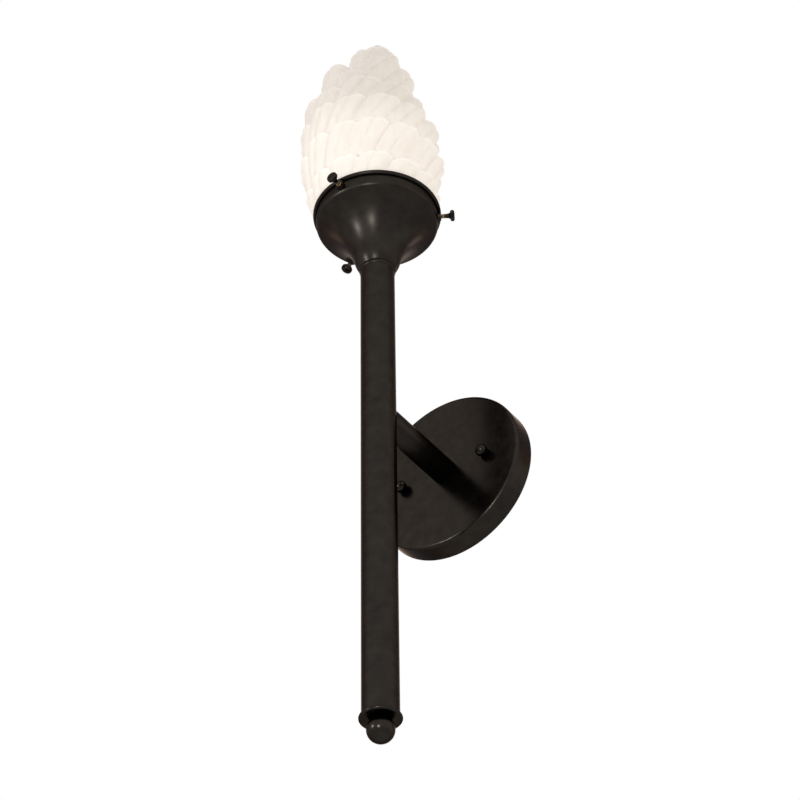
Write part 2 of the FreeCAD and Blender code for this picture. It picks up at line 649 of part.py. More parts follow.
cup_radius = "(lamp_cap_dia / 2 + thread_gap + shell_wall + thread_gap)"
holder = turned(
    "socket_body",
    [
        ("0", "0"),
        ("holder_base_dia / 2 - 0.8", "0"),
        ("holder_base_dia / 2", "0.8"),
        ("holder_base_dia / 2", "holder_base_length"),
        ("holder_dia / 2", "holder_base_length + 2.5"),
        ("holder_dia / 2", "holder_length - 1.5"),
        ("holder_dia / 2 - 1.5", "holder_length", "1.5"),
        (cup_radius, "holder_length"),
        (cup_radius, "holder_floor"),
        ("0", "holder_floor"),
    ],
)
terminal_places = [("0", "holder_base_length / 2", "terminal_dia")]
drilled(holder, "terminal_holes", "YZ_Plane", terminal_places, Midplane=True)
piece(put(holder, y="-arm_reach", z="tube_above + holder_rise"))

shell_length = "(holder_length - holder_floor - shell_foot - shell_rim_drop)"
shell_in = "(lamp_cap_dia / 2 + thread_gap)"
socket_shell = turned(
    "socket_shell",
    [
        (f"{shell_in} - shell_lip", "0"),
        (f"{shell_in} + shell_wall", "0"),
        (f"{shell_in} + shell_wall", shell_length),
        (shell_in, shell_length),
        (shell_in, "shell_wall"),
        (f"{shell_in} - shell_lip", "shell_wall"),
    ],
)
piece(put(socket_shell, y="-arm_reach", z="tube_above + holder_rise + holder_floor + shell_foot"))

contact_foot = box(
    "contact_foot", "contact_length", "contact_width", "contact_thick",
    "-contact_length / 2", "-contact_width / 2", "0",
)
contact_post = box(
    "contact_post", "contact_thick", "contact_width", "contact_rise",
    "contact_length / 2 - contact_thick", "-contact_width / 2", "0",
)
contact_tongue = box(
    "contact_tongue", "contact_length - 2", "contact_width", "contact_thick",
    "-contact_length / 2 + 2", "-contact_width / 2", "contact_rise - contact_thick",
)
socket_contact = joined("socket_contact", contact_foot, contact_post, contact_tongue)
piece(put(socket_contact, y="-arm_reach", z="tube_above + holder_rise + holder_floor"))

for label, sign, outward in (("live", "", X), ("neutral", "-", -X)):
    screw = turned(
        f"terminal_screw_{label}",
        [
            ("0", "0"),
            ("terminal_dia / 2", "0"),
            ("terminal_dia / 2", "terminal_length"),
            ("terminal_head_dia / 2", "terminal_length"),
            ("terminal_head_dia / 2", "terminal_length + terminal_head_thick"),
            ("0", "terminal_length + terminal_head_thick"),
        ],
    )
    screw_end = f"{sign}(holder_base_dia / 2 - terminal_length)"
    height = "tube_above + holder_rise + holder_base_length / 2"
    piece(put(screw, x=screw_end, y="-arm_reach", z=height, towards=outward))

# ---------------------------------------------------------------- lamp
# A plain round lamp on a medium base. It unscrews from the brass shell.
lamp_foot = "tube_above + holder_rise + holder_floor + contact_rise + lamp_gap"
cap_foot = "(lamp_contact_thick + lamp_insulator_height)"
cap_shoulder = f"({cap_foot} + lamp_cap_taper)"
cap_top = "(lamp_contact_thick + lamp_cap_length)"
lamp_contact = turned(
    "bulb_contact",
    [
        ("0", "0"),
        ("lamp_contact_dia / 2 - lamp_contact_thick / 2", "0"),
        ("lamp_contact_dia / 2", "lamp_contact_thick / 2", "lamp_contact_thick / 2"),
        ("lamp_contact_dia / 2", "lamp_contact_thick"),
        ("0", "lamp_contact_thick"),
    ],
)
piece(put(lamp_contact, y="-arm_reach", z=lamp_foot))

lamp_insulator = turned(
    "bulb_insulator",
    [
        ("0", "lamp_contact_thick"),
        ("lamp_contact_dia / 2 + lamp_cap_wall", "lamp_contact_thick"),
        ("lamp_insulator_dia / 2", cap_foot),
        ("lamp_insulator_dia / 2", f"{cap_foot} + 2 * lamp_cap_wall"),
        ("0", f"{cap_foot} + 2 * lamp_cap_wall"),
    ],
)
piece(put(lamp_insulator, y="-arm_reach", z=lamp_foot))

lamp_cap = turned(
    "bulb_cap",
    [
        ("lamp_insulator_dia / 2", cap_foot),
        ("lamp_insulator_dia / 2 + lamp_cap_wall", cap_foot),
        ("lamp_cap_dia / 2", cap_shoulder),
        ("lamp_cap_dia / 2", cap_top),
        ("lamp_cap_dia / 2 - lamp_cap_wall", cap_top),
        ("lamp_cap_dia / 2 - lamp_cap_wall", f"{cap_shoulder} + lamp_cap_wall"),
        ("lamp_insulator_dia / 2", f"{cap_foot} + lamp_cap_wall"),
    ],
)
piece(put(lamp_cap, y="-arm_reach", z=lamp_foot))

globe_h = "(lamp_length - lamp_dia / 2)"
globe_start = f"({cap_shoulder} + 6)"
neck_top = f"({cap_top} + 3)"
globe_in = "(lamp_dia / 2 - lamp_glass)"


def on_globe(radius):
    """Where the straight shoulder leaves the sphere, on its outside or inside."""
    return f"{radius} * cos(globe_tilt)", f"{globe_h} - {radius} * sin(globe_tilt)"


lamp_globe = turned(
    "bulb_globe",
    [
        ("0", globe_start),
        ("lamp_neck_dia / 2", globe_start),
        ("lamp_neck_dia / 2", neck_top),
        on_globe("lamp_dia / 2"),
        ("0", "lamp_length", "lamp_dia / 2"),
        ("0", "lamp_length - lamp_glass"),
        (*on_globe(globe_in), "-" + globe_in),
        ("lamp_neck_dia / 2 - lamp_glass", f"{neck_top} + lamp_glass / 2"),
        ("lamp_neck_dia / 2 - lamp_glass", f"{globe_start} + lamp_glass"),
        ("0", f"{globe_start} + lamp_glass"),
    ],
)
piece(put(lamp_globe, y="-arm_reach", z=lamp_foot))

stem_top = f"({globe_h} - 12)"
lamp_stem = turned(
    "bulb_stem",
    [
        ("0", f"{globe_start} + lamp_glass"),
        ("lamp_stem_dia", f"{globe_start} + lamp_glass"),
        ("lamp_stem_dia / 2", f"{globe_start} + 10"),
        ("lamp_stem_dia / 2", stem_top),
        ("0", stem_top),
    ],
)
piece(put(lamp_stem, y="-arm_reach", z=lamp_foot))


def swept(points, radii, diameter):
    """A round rod along straight runs joined by tangent arcs, and the length of its path."""
    edges, here = [], points[0]
    for i in range(1, len(points) - 1):
        before = (points[i] - points[i - 1]).normalize()
        after = (points[i + 1] - points[i]).normalize()
        half_turn = before.getAngle(after) / 2
        setback = radii[i - 1] * math.tan(half_turn)
        arrive, leave = points[i] - before * setback, points[i] + after * setback
        inward = (after - before).normalize()
        middle = points[i] + inward * (radii[i - 1] / math.cos(half_turn) - radii[i - 1])
        edges.append(Part.LineSegment(here, arrive).toShape())
        edges.append(Part.Arc(arrive, middle, leave).toShape())
        here = leave
    edges.append(Part.LineSegment(here, points[-1]).toShape())
    path = Part.Wire(edges)
    start = (points[1] - points[0]).normalize()
    section = Part.Wire(Part.makeCircle(diameter / 2, points[0], start))
    rod = path.makePipeShell([section], True, False)
    expected = math.pi * diameter**2 / 4 * path.Length
    assert abs(rod.Volume / expected - 1) < 0.02, "a rod's volume isn't its section times its length"
    return rod, path.Length


def filament():
    """Two posts out of the stem and the filament across them, as one bent wire."""
    thickness, span = value("filament_dia"), value("filament_span / 2")
    post = value("lamp_stem_dia / 2 - filament_dia * 2")
    foot, top = value(f"{stem_top} + filament_dia / 2"), value(f"{globe_h} + 6")
    points = [
        FreeCAD.Vector(-post, 0, foot),
        FreeCAD.Vector(-span, 0, top),
        FreeCAD.Vector(span, 0, top),
        FreeCAD.Vector(post, 0, foot),
    ]
    return swept(points, [2 * thickness, 2 * thickness], thickness)[0]


lamp_filament = doc.addObject("Part::Feature", "bulb_filament")
lamp_filament.Shape = filament()
piece(put(lamp_filament, y="-arm_reach", z=lamp_foot))

# ---------------------------------------------------------------- flame shade
# Pressed glass. A plain lip and neck fit the bell, and above them seven tiers of tongues overlap like the
# scales of a cone. A tongue is a leaning cone with its foot inside the tier below, and a funnel-shaped
# cut behind each tier leaves every tongue a rounded tip that stands clear of the tier above. The flame's
# own tip stands in the middle of the last tier.
# Each tier: tongues; height of its tips, as a share of the shade's height; radius at the feet and at the
# tips, as shares of the widest; how far it stands off the axis, as a share of the shade's lean; twist from
# foot to tip and direction of one tip, in degrees.
TIERS = [
    (12, 0.15, 0.84, 0.93, 0.27, 8, 220),
    (13, 0.316, 0.815, 1.0, 0.47, 22, 33),
    (12, 0.46, 0.87, 0.97, 0.67, 24, 232),
    (10, 0.593, 0.81, 0.855, 1.15, 26, 236),
    (8, 0.773, 0.685, 0.65, 0.85, 31, 249),
    (7, 0.899, 0.43, 0.352, 0.15, 36, 0),
    (4, 0.952, 0.24, 0.204, -0.1, 40, 340),
]
LEAN_TOWARDS = FreeCAD.Vector(-0.82, -0.57, 0)


def shade_seat():
    """Height of the shade's lip: where a lip of its size meets the inside of the bell's sweep."""
    rise = f"sqrt((flare_radius + bell_wall) ^ 2 - ({sweep_r} - fitter_dia / 2) ^ 2)"
    return value(f"tube_above + seat_gap + {sweep_h} + {rise}")


def tongue(foot, tip, foot_radius, tip_radius, overrun):
    """A cone from foot to tip, carried on past the tip by a share of its length."""
    run = tip - foot
    end_radius = tip_radius + (tip_radius - foot_radius) * overrun
    return Part.makeCone(foot_radius, end_radius, run.Length * (1 + overrun), foot, run)


def tier_of_tongues(centre, levels, radii, twist, direction, count):
    """One ring of leaning tongues with a level foot, their tips shaped by a funnel-shaped cut."""
    fullness, fall, slope = value("tongue_fullness"), value("tip_fall"), value("tip_slope")
    thick = [fullness * 2 * math.pi * r / count for r in radii]
    overrun = fall / (levels[1] - levels[0])
    tongues = []
    for k in range(count):
        tip_angle = direction + k * 360 / count
        spots = []
        for level, radius, half, angle in zip(levels, radii, thick, (tip_angle - twist, tip_angle)):
            outward = FreeCAD.Rotation(Z, angle).multVec(X)
            spots.append(centre + outward * (radius - half) + Z * level)
        tongues.append(tongue(*spots, *thick, overrun))
    under_feet = 2 * thick[0]
    below = Part.makeCylinder(2 * radii[0], under_feet, centre + Z * (levels[0] - under_feet), Z)
    wide = radii[1] + 2 * fall / slope
    funnel = Part.makeCone(radii[1] - fall / slope, wide, 3 * fall, centre + Z * (levels[1] - fall), Z)
    return tongues[0].fuse(tongues[1:]).cut(below).cut(funnel)


def crest(centre, foot, top):
    """The flame's own tip: a cone that grows out of the last tier and ends in a ball."""
    ball = value("crest_dia / 2")
    cone = Part.makeCone(value("crest_foot_dia / 2"), 0.95 * ball, top - ball - foot, centre + Z * foot, Z)
    return cone.fuse(Part.makeSphere(ball, centre + Z * (top - ball)))


def flame():
    """The whole shade as one solid: lip, neck, swell and tiers, less the hollow inside."""
    lip, neck, widest = value("fitter_dia / 2"), value("neck_dia / 2"), value("shade_dia / 2")
    mouth, wall = value("mouth_dia / 2"), value("shade_wall")
    height, length, lean = value("shade_height"), value("tongue_length"), value("shade_lean")
    seat = shade_seat()
    neck_foot = seat + value("lip_height")
    swell_foot = neck_foot + value("neck_height")
    swell_top = swell_foot + value("neck_flare")
    first_foot = TIERS[0][2] * widest
    profile = [
        (0, seat),
        (lip, seat),
        (lip, neck_foot),
        (neck, neck_foot),
        (neck, swell_foot),
        (first_foot, swell_top),
        (0, swell_top),
        (0, seat),
    ]
    axis = FreeCAD.Vector(0, -value("arm_reach"), 0)
    half_section = Part.Face(Part.makePolygon([axis + FreeCAD.Vector(r, 0, z) for r, z in profile]))
    tiers = []
    hollow = [Part.Wire(Part.makeCircle(mouth, axis + Z * z)) for z in (seat - 1, swell_foot)]
    last_tip = swell_foot
    for count, tip_share, foot_share, radius_share, stand_off, twist, direction in TIERS:
        centre = axis + LEAN_TOWARDS * (lean * stand_off)
        tip = seat + tip_share * height
        foot = max(tip - length, swell_top - 1)
        radii = (foot_share * widest, radius_share * widest)
        tiers.append(tier_of_tongues(centre, (foot, tip), radii, twist, direction, count))
        if last_tip > swell_foot:
            part_way = (last_tip - foot) / (tip - foot)
            outside = radii[0] + (radii[1] - radii[0]) * part_way
            hollow.append(Part.Wire(Part.makeCircle(0.9 * outside - wall, centre + Z * last_tip)))
        last_tip = tip
    tiers.append(crest(centre, last_tip - value("tip_fall + 2"), seat + height))
    solid = half_section.revolve(axis, Z, 360).fuse(tiers).cut(Part.makeLoft(hollow, True, True))
    return max(solid.Solids, key=lambda s: s.Volume)


glass_shade = doc.addObject("Part::Feature", "glass_shade")
glass_shade.Shape = flame()
piece(glass_shade)

# ---------------------------------------------------------------- leads
# Two insulated leads run side by side from the terminal screws down the lamp pipe and the upright tube,
# turn into the arm and end in wire nuts behind the plate. A green lead grounds the mounting bar.
def lead(name, points, radii):
    obj = doc.addObject("Part::Feature", name)
    obj.Shape, length = swept(points, radii, value("lead_dia"))
    print(f"{name}: {length:.1f} mm, bends of {', '.join(f'{r:g}' for r in radii)} mm")
    return piece(obj)


reach, spread, rest = value("arm_reach"), value("lead_spread"), value("splice_depth")
beside_base = value("holder_base_dia / 2 + lead_dia / 2 + 0.2")
under_screw = value("tube_above + holder_rise + holder_base_length / 2 - terminal_head_dia / 2 - 0.2")
crossing = value(f"tube_above + {holder_nipple_top} + 5.2")
below_pipe = value("tube_above - bushing_length - 14")
forward = reach + value("lead_set_back")
across, mouth_z = value("splice_offset"), value("splice_rise")
for name, side in (("black_lead", 1), ("white_lead", -1)):
    route = [
        FreeCAD.Vector(side * beside_base, -reach, under_screw),
        FreeCAD.Vector(side * beside_base, -reach, crossing),
        FreeCAD.Vector(side * spread, -reach, crossing),
        FreeCAD.Vector(side * spread, -reach, below_pipe),
        FreeCAD.Vector(side * spread, -forward, below_pipe / 2),
        FreeCAD.Vector(side * spread, -forward, 0),
        FreeCAD.Vector(side * spread, -rest, 0),
        FreeCAD.Vector(side * across, -rest, mouth_z - 5),
        FreeCAD.Vector(side * across, -rest, mouth_z + value("cap_bore_depth") - 1),
    ]
    lead(name, route, [3.2, 4.5, 100, 100, value("lead_bend"), 4.6, 8])

ground_x, ground_y = -value("ground_screw_offset"), -value("bar_thick + lead_dia / 2 + 0.2")
ground_route = [
    FreeCAD.Vector(ground_x, ground_y, -value("ground_head_dia / 2 + 0.2")),
    FreeCAD.Vector(ground_x, ground_y, -value("ground_head_dia / 2 + 4.2")),
    FreeCAD.Vector(ground_x, -rest, -value("bar_width / 2 + 4")),
    FreeCAD.Vector(ground_x, -rest, -value("bar_width / 2 + 6 + cap_bore_depth - 1")),
]
lead("ground_lead", ground_route, [4, 4])

wire_nuts = []
NUT_PLACES = [
    ("black", "splice_offset", "splice_rise", Z),
    ("white", "-splice_offset", "splice_rise", Z),
    ("ground", "-ground_screw_offset", "-(bar_width / 2 + 6)", -Z),
]
for name, x, z, towards in NUT_PLACES:
    nut = turned(
        f"wire_nut_{name}",
        [
            ("cap_skirt_dia / 2", "0"),
            ("cap_dia / 2", "0"),
            ("cap_tip_dia / 2", "cap_length"),
            ("0", "cap_length"),
            ("0", "cap_bore_depth"),
            ("lead_dia / 2 + thread_gap", "cap_bore_depth"),
            ("lead_dia / 2 + thread_gap", "cap_skirt"),
            ("cap_skirt_dia / 2", "cap_skirt"),
        ],
    )
    wire_nuts.append(put(nut, x=x, y="-splice_depth", z=z, towards=towards))
piece(group("wire_nuts", *wire_nuts))

doc.recompute()

# ---------------------------------------------------------------- checks and files
wrong = [o.Name for o in doc.Objects if "Invalid" in o.State or "Error" in o.State]
assert not wrong, f"these objects failed: {wrong}"
os.makedirs("parts", exist_ok=True)
for obj in PIECES:
    shape = obj.Shape
    assert not shape.isNull() and shape.isValid() and shape.Solids, f"{obj.Label} isn't a valid solid"
    shape.exportStep(f"parts/{obj.Label}.step")
    print(f"{obj.Label:22s} {len(shape.Solids)} solids {shape.Volume:10.1f} mm3")
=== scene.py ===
# Torch sconce, dressed: a dark bronze wall light with an upright tube, a spun bell and a glass flame.
# The sections follow the light as it is put together, from the bar on the wall box to the glass shade.
import math

import bmesh
import bpy
import numpy as np
from mathutils import Matrix, Vector


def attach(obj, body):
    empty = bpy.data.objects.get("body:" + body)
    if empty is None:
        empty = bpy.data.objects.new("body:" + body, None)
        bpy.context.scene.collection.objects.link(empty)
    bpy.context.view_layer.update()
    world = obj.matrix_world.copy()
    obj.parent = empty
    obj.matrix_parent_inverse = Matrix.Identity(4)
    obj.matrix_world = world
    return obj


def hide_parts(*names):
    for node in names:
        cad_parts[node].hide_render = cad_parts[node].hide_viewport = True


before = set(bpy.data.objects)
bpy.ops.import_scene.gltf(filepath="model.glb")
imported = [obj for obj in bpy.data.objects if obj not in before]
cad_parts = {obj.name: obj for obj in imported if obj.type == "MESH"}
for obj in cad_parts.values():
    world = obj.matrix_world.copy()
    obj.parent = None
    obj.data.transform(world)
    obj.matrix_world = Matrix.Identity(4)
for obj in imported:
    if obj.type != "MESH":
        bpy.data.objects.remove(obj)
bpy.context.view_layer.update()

# ------------------------------------------------------------------ mounting bar
# A strip of cold-rolled steel, blanked and pierced in one stroke and zinc plated. It is screwed to the
# wall box through its two end slots and carries everything else.
MM = 0.001


def seen(code):
    """A hex colour as the eye sees it, turned to the linear values that shaders take."""
    parts = [int(code[i : i + 2], 16) / 255 for i in (1, 3, 5)]
    return (*[p / 12.92 if p <= 0.04045 else ((p + 0.055) / 1.055) ** 2.4 for p in parts], 1.0)


def add(tree, kind, inputs=None, **settings):
    """Adds one node. Settings are its attributes; inputs are values, or the sockets that feed them."""
    node = tree.nodes.new(kind)
    for key, value in settings.items():
        setattr(node, key, value)
    for key, value in (inputs or {}).items():
        if isinstance(value, bpy.types.NodeSocket):
            tree.links.new(value, node.inputs[key])
        else:
            node.inputs[key].default_value = value
    return node


def finish(name, light, dark, grain, roughness, relief, stretch=(1, 1, 1), **constants):
    """A material that drifts between two colours and two roughnesses, with a relief, all on one grain in mm.
    Constants go on the shader's own sockets. Returns the material, its tree and its shader."""
    material = bpy.data.materials.new(name)
    material.use_nodes = True
    tree = material.node_tree
    tree.nodes.clear()
    place = add(tree, "ShaderNodeTexCoord").outputs["Object"]
    drawn = add(tree, "ShaderNodeMapping", {"Vector": place, "Scale": stretch}).outputs["Vector"]
    noise = {"Vector": drawn, "Scale": 1000 / grain, "Detail": 4.0, "Roughness": 0.6}
    cloud = add(tree, "ShaderNodeTexNoise", noise).outputs["Fac"]
    spread = {"Value": cloud, "From Min": 0.3, "From Max": 0.7}
    share = add(tree, "ShaderNodeMapRange", spread).outputs["Result"]
    tint = add(tree, "ShaderNodeMix", {0: share, 6: seen(dark), 7: seen(light)}, data_type="RGBA")
    gloss = add(tree, "ShaderNodeMapRange", {**spread, "To Min": roughness[0], "To Max": roughness[1]})
    bump = add(tree, "ShaderNodeBump", {"Height": cloud, "Distance": relief * MM, "Strength": 1.0})
    surface = add(tree, "ShaderNodeBsdfPrincipled", {
        "Base Color": tint.outputs[2],
        "Roughness": gloss.outputs["Result"],
        "Normal": bump.outputs["Normal"],
        **{socket.replace("_", " "): value for socket, value in constants.items()},
    })
    add(tree, "ShaderNodeOutputMaterial", {"Surface": surface.outputs["BSDF"]})
    return material, tree, surface


def dress(material, *names):
    """Gives CAD nodes a finish through their own material slots."""
    for name in names:
        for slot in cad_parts[name].material_slots:
            slot.material = material


# Bright zinc plate over blanked steel: a pale blue-grey metal with a soft, slightly cloudy shine.
zinc_plate, _, _ = finish("zinc_plated_steel", "#c9cbc9", "#a7aaa8", 3.0, (0.28, 0.45), 0.02, Metallic=1.0)
dress(zinc_plate, "crossbar", "stud_nuts", "arm_washer", "arm_locknut", "bell_locknut", "holder_strap")

# ------------------------------------------------------------------ studs
# Two size 8 machine screws of zinc plated steel stand out of the bar, each held by a hex nut. Their thread
# is rolled, so its crests are as wide as the stud.
STUD_RADIUS, STUD_LENGTH, STUD_SPACING = 2.085, 21.3, 69.85


def lathe(outline, sides=64):
    """A turned mesh about +Z from its outline in mm, from the foot on the axis to the top on the axis."""
    mesh = bpy.data.meshes.new("turned")
    form = bmesh.new()
    points = [form.verts.new((r * MM, 0, z * MM)) for r, z in outline]
    edges = [form.edges.new(pair) for pair in zip(points, points[1:])]
    bmesh.ops.spin(form, geom=points + edges, axis=(0, 0, 1), cent=(0, 0, 0), steps=sides, angle=math.tau)
    bmesh.ops.remove_doubles(form, verts=form.verts, dist=1e-6)
    bmesh.ops.recalc_face_normals(form, faces=form.faces)
    form.to_mesh(mesh)
    form.free()
    return mesh


def shade_smooth(mesh, crease=32):
    """Smooth shading that keeps every edge sharper than the crease angle, in degrees."""
    form = bmesh.new()
    form.from_mesh(mesh)
    for edge in form.edges:
        edge.smooth = len(edge.link_faces) == 2 and edge.calc_face_angle(0) < math.radians(crease)
    for face in form.faces:
        face.smooth = True
    form.to_mesh(mesh)
    form.free()


def tree_of(name, sizes):
    """An empty Geometry Nodes tree with a named input for each size, and its input and output nodes."""
    tree = bpy.data.node_groups.new(name, "GeometryNodeTree")
    tree.interface.new_socket("Geometry", in_out="INPUT", socket_type="NodeSocketGeometry")
    tree.interface.new_socket("Geometry", in_out="OUTPUT", socket_type="NodeSocketGeometry")
    for label, kind in sizes.items():
        tree.interface.new_socket(label, in_out="INPUT", socket_type="NodeSocket" + kind)
    return tree, add(tree, "NodeGroupInput").outputs, add(tree, "NodeGroupOutput").inputs["Geometry"]


def grown(mesh, tree, sizes):
    """What a tree makes of a mesh with these sizes, as a plain mesh."""
    seed = bpy.data.objects.new("seed", mesh)
    bpy.context.scene.collection.objects.link(seed)
    modifier = seed.modifiers.new("grow", "NODES")
    modifier.node_group = tree
    for item in tree.interface.items_tree:
        if item.in_out == "INPUT" and item.name in sizes:
            modifier[item.identifier] = sizes[item.name]
    bpy.context.view_layer.update()
    result = bpy.data.meshes.new_from_object(seed.evaluated_get(bpy.context.evaluated_depsgraph_get()))
    bpy.data.objects.remove(seed)
    return result


def thread_tree():
    """A helical ridge round the rod that comes in, from Start to Start + Length, its crest at Radius."""
    tree, given, out = tree_of("rolled_thread", {
        "Radius": "Float", "Depth": "Float", "Pitch": "Float", "Start": "Float", "Length": "Float",
        "Finish": "Material",
    })
    turns = add(tree, "ShaderNodeMath", {0: given["Length"], 1: given["Pitch"]}, operation="DIVIDE")
    root = add(tree, "ShaderNodeMath", {0: given["Radius"], 1: given["Depth"]}, operation="SUBTRACT")
    coil = add(tree, "GeometryNodeCurveSpiral", {
        "Resolution": 20, "Rotations": turns.outputs[0], "Start Radius": root.outputs[0],
        "End Radius": root.outputs[0], "Height": given["Length"],
    })
    ridge = add(tree, "GeometryNodeCurvePrimitiveCircle", {"Resolution": 4, "Radius": given["Depth"]})
    wound = add(tree, "GeometryNodeCurveToMesh", {
        "Curve": coil.outputs[0], "Profile Curve": ridge.outputs[0], "Fill Caps": True,
    })
    up = add(tree, "ShaderNodeCombineXYZ", {"Z": given["Start"]})
    raised = add(tree, "GeometryNodeSetPosition", {"Geometry": wound.outputs[0], "Offset": up.outputs[0]})
    whole = add(tree, "GeometryNodeJoinGeometry")
    tree.links.new(raised.outputs[0], whole.inputs[0])
    tree.links.new(given["Geometry"], whole.inputs[0])
    real = add(tree, "GeometryNodeRealizeInstances", {"Geometry": whole.outputs[0]})
    dressed = add(tree, "GeometryNodeSetMaterial", {"Geometry": real.outputs[0], "Material": given["Finish"]})
    tree.links.new(dressed.outputs[0], out)
    return tree


def placed(name, meshes, body, node, material):
    """One piece from meshes that already stand in the frame. It replaces a CAD node and rides on its body."""
    form = bmesh.new()
    for mesh in meshes:
        form.from_mesh(mesh)
    whole = bpy.data.meshes.new(name)
    form.to_mesh(whole)
    form.free()
    whole.materials.clear()
    whole.materials.append(material)
    piece = bpy.data.objects.new(name, whole)
    bpy.context.scene.collection.objects.link(piece)
    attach(piece, body)
    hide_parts(node)
    return piece


def stood(mesh, foot, towards):
    """A copy of a mesh with its +Z turned towards a direction and its origin moved to a point in mm."""
    copy = mesh.copy()
    turn = Vector(towards).to_track_quat("Z", "Y").to_matrix().to_4x4()
    copy.transform(Matrix.Translation(Vector(foot) * MM) @ turn)
    return copy


rolled_thread = thread_tree()
STUD_DEPTH, STUD_PITCH = 0.35, 0.79
stud_rod = lathe([
    (0, 0), (STUD_RADIUS - STUD_DEPTH, 0), (STUD_RADIUS - STUD_DEPTH, STUD_LENGTH - 0.4),
    (STUD_RADIUS - 0.8, STUD_LENGTH), (0, STUD_LENGTH),
], 24)
stud = grown(stud_rod, rolled_thread, {
    "Radius": STUD_RADIUS * MM, "Depth": STUD_DEPTH * MM, "Pitch": STUD_PITCH * MM, "Start": 0.6 * MM,
    "Length": (STUD_LENGTH - 1.4) * MM, "Finish": zinc_plate,
})
shade_smooth(stud)
studs = [stood(stud, (side * STUD_SPACING / 2, 0, 0), (0, -1, 0)) for side in (1, -1)]
placed("threaded_studs", studs, "sconce", "mounting_studs", zinc_plate)

# Green dyed zinc marks the ground screw.
green_zinc, _, _ = finish("green_dyed_zinc", "#2f7d45", "#1e5c31", 1.5, (0.3, 0.45), 0.02, Metallic=0.7)
dress(green_zinc, "ground_screw")

# ------------------------------------------------------------------ wall plate, arm and upright tube
# The plate is spun from brass sheet into a shallow pan. The arm and the upright are drawn brass tube, and
# a braze joins them. All is darkened in an oxidising bath, waxed and lacquered: oil-rubbed bronze.
TUBE_Y = -96.7
BRONZE_LIGHT, BRONZE_DARK = "#302c28", "#26221f"


def bronze(name, centre, axis, pitch, roughness=(0.21, 0.26)):
    """Oil-rubbed bronze. Tool marks run round an axis for spun and turned pieces, or along it for drawn tube,
    a pitch in mm apart. They are finer on the real piece and are drawn just coarse enough to show."""
    material, tree, surface = finish(
        name, BRONZE_LIGHT, BRONZE_DARK, 9.0, roughness, 0.01,
        Metallic=1.0, Specular_Tint=seen("#a39384"), Coat_Weight=0.1, Coat_Roughness=0.25,
    )
    place = add(tree, "ShaderNodeTexCoord").outputs["Object"]
    moved = add(tree, "ShaderNodeVectorMath", {0: place, 1: [c * MM for c in centre]}, operation="SUBTRACT")
    across = [1 - abs(a) for a in axis]
    flat = add(tree, "ShaderNodeVectorMath", {0: moved.outputs[0], 1: across}, operation="MULTIPLY")
    radius = add(tree, "ShaderNodeVectorMath", {0: flat.outputs[0]}, operation="LENGTH")
    height = add(tree, "ShaderNodeVectorMath", {0: moved.outputs[0], 1: axis}, operation="DOT_PRODUCT")
    ringed = add(tree, "ShaderNodeCombineXYZ", {"X": radius.outputs["Value"], "Y": height.outputs["Value"]})
    marks = add(tree, "ShaderNodeTexNoise", {
        "Vector": ringed.outputs[0], "Scale": 1000 / pitch, "Detail": 2.0, "Roughness": 0.5,
    })
    first = surface.inputs["Normal"].links[0].from_socket
    bump = add(tree, "ShaderNodeBump", {
        "Height": marks.outputs["Fac"], "Distance": 0.006 * MM, "Strength": 1.0, "Normal": first,
    })
    tree.links.new(bump.outputs["Normal"], surface.inputs["Normal"])
    return material


spun_plate = bronze("oil_rubbed_bronze_spun_plate", (0, 0, 0), (0, 1, 0), 0.8)
drawn_arm = bronze("oil_rubbed_bronze_drawn_arm", (0, 0, 0), (0, 1, 0), 1.6)
drawn_tube = bronze("oil_rubbed_bronze_drawn_tube", (0, TUBE_Y, 0), (0, 0, 1), 1.6)
dress(spun_plate, "backplate", "ball_nut_left", "ball_nut_right")
dress(drawn_arm, "arm_tube", "arm_braze")
dress(drawn_tube, "main_tube")

# Turned and threaded steel inside the tubes: bushings brazed into their ends and lamp pipes through them.
turned_steel, _, _ = finish("turned_steel", "#a3a4a6", "#7f8184", 1.2, (0.25, 0.4), 0.02, Metallic=1.0)
dress(turned_steel, "arm_bushing", "foot_bushing", "top_bushing")
dress(zinc_plate, "arm_nipple", "foot_nipple", "holder_nipple", "mounting_studs")

# ------------------------------------------------------------------ ring and ball at the foot
# A turned ring and a turned ball close the tube's foot. The ball is screwed on the lamp pipe and clamps
# the ring. Both are solid brass under the same dark finish.
turned_foot = bronze("oil_rubbed_bronze_turned_foot", (0, TUBE_Y, 0), (0, 0, 1), 0.7)
dress(turned_foot, "foot_ring", "ball_finial")

# ------------------------------------------------------------------ bell
# The shade holder, spun from brass sheet over a wooden form, its rim rolled outwards. Three threaded bosses
# are riveted into its band for the screws.
bell_bronze = bronze("oil_rubbed_bronze_spun_bell", (0, TUBE_Y, 0), (0, 0, 1), 0.8, (0.32, 0.38))
dress(bell_bronze, "bell_fitter", "screw_bosses")
BELL_FOOT, SHEET = 133.4, 0.9
SWEEP_CENTRE, SWEEP_RADIUS, SWEEP_START, SWEEP_END = (71.93, 131.59), 56.8, 14, 59.75
SHOULDER_CENTRE, SHOULDER_RADIUS = (41.3, 184.11), 4.0
BEAD_CENTRE, BEAD_RADIUS = (46.0, 192.0), 1.6


def arc(centre, radius, start, end, steps):
    """Points of an arc in mm, from a start to an end angle in degrees."""
    return [
        (centre[0] + radius * math.cos(math.radians(a)), centre[1] + radius * math.sin(math.radians(a)))
        for a in (start + (end - start) * k / steps for k in range(steps + 1))
    ]


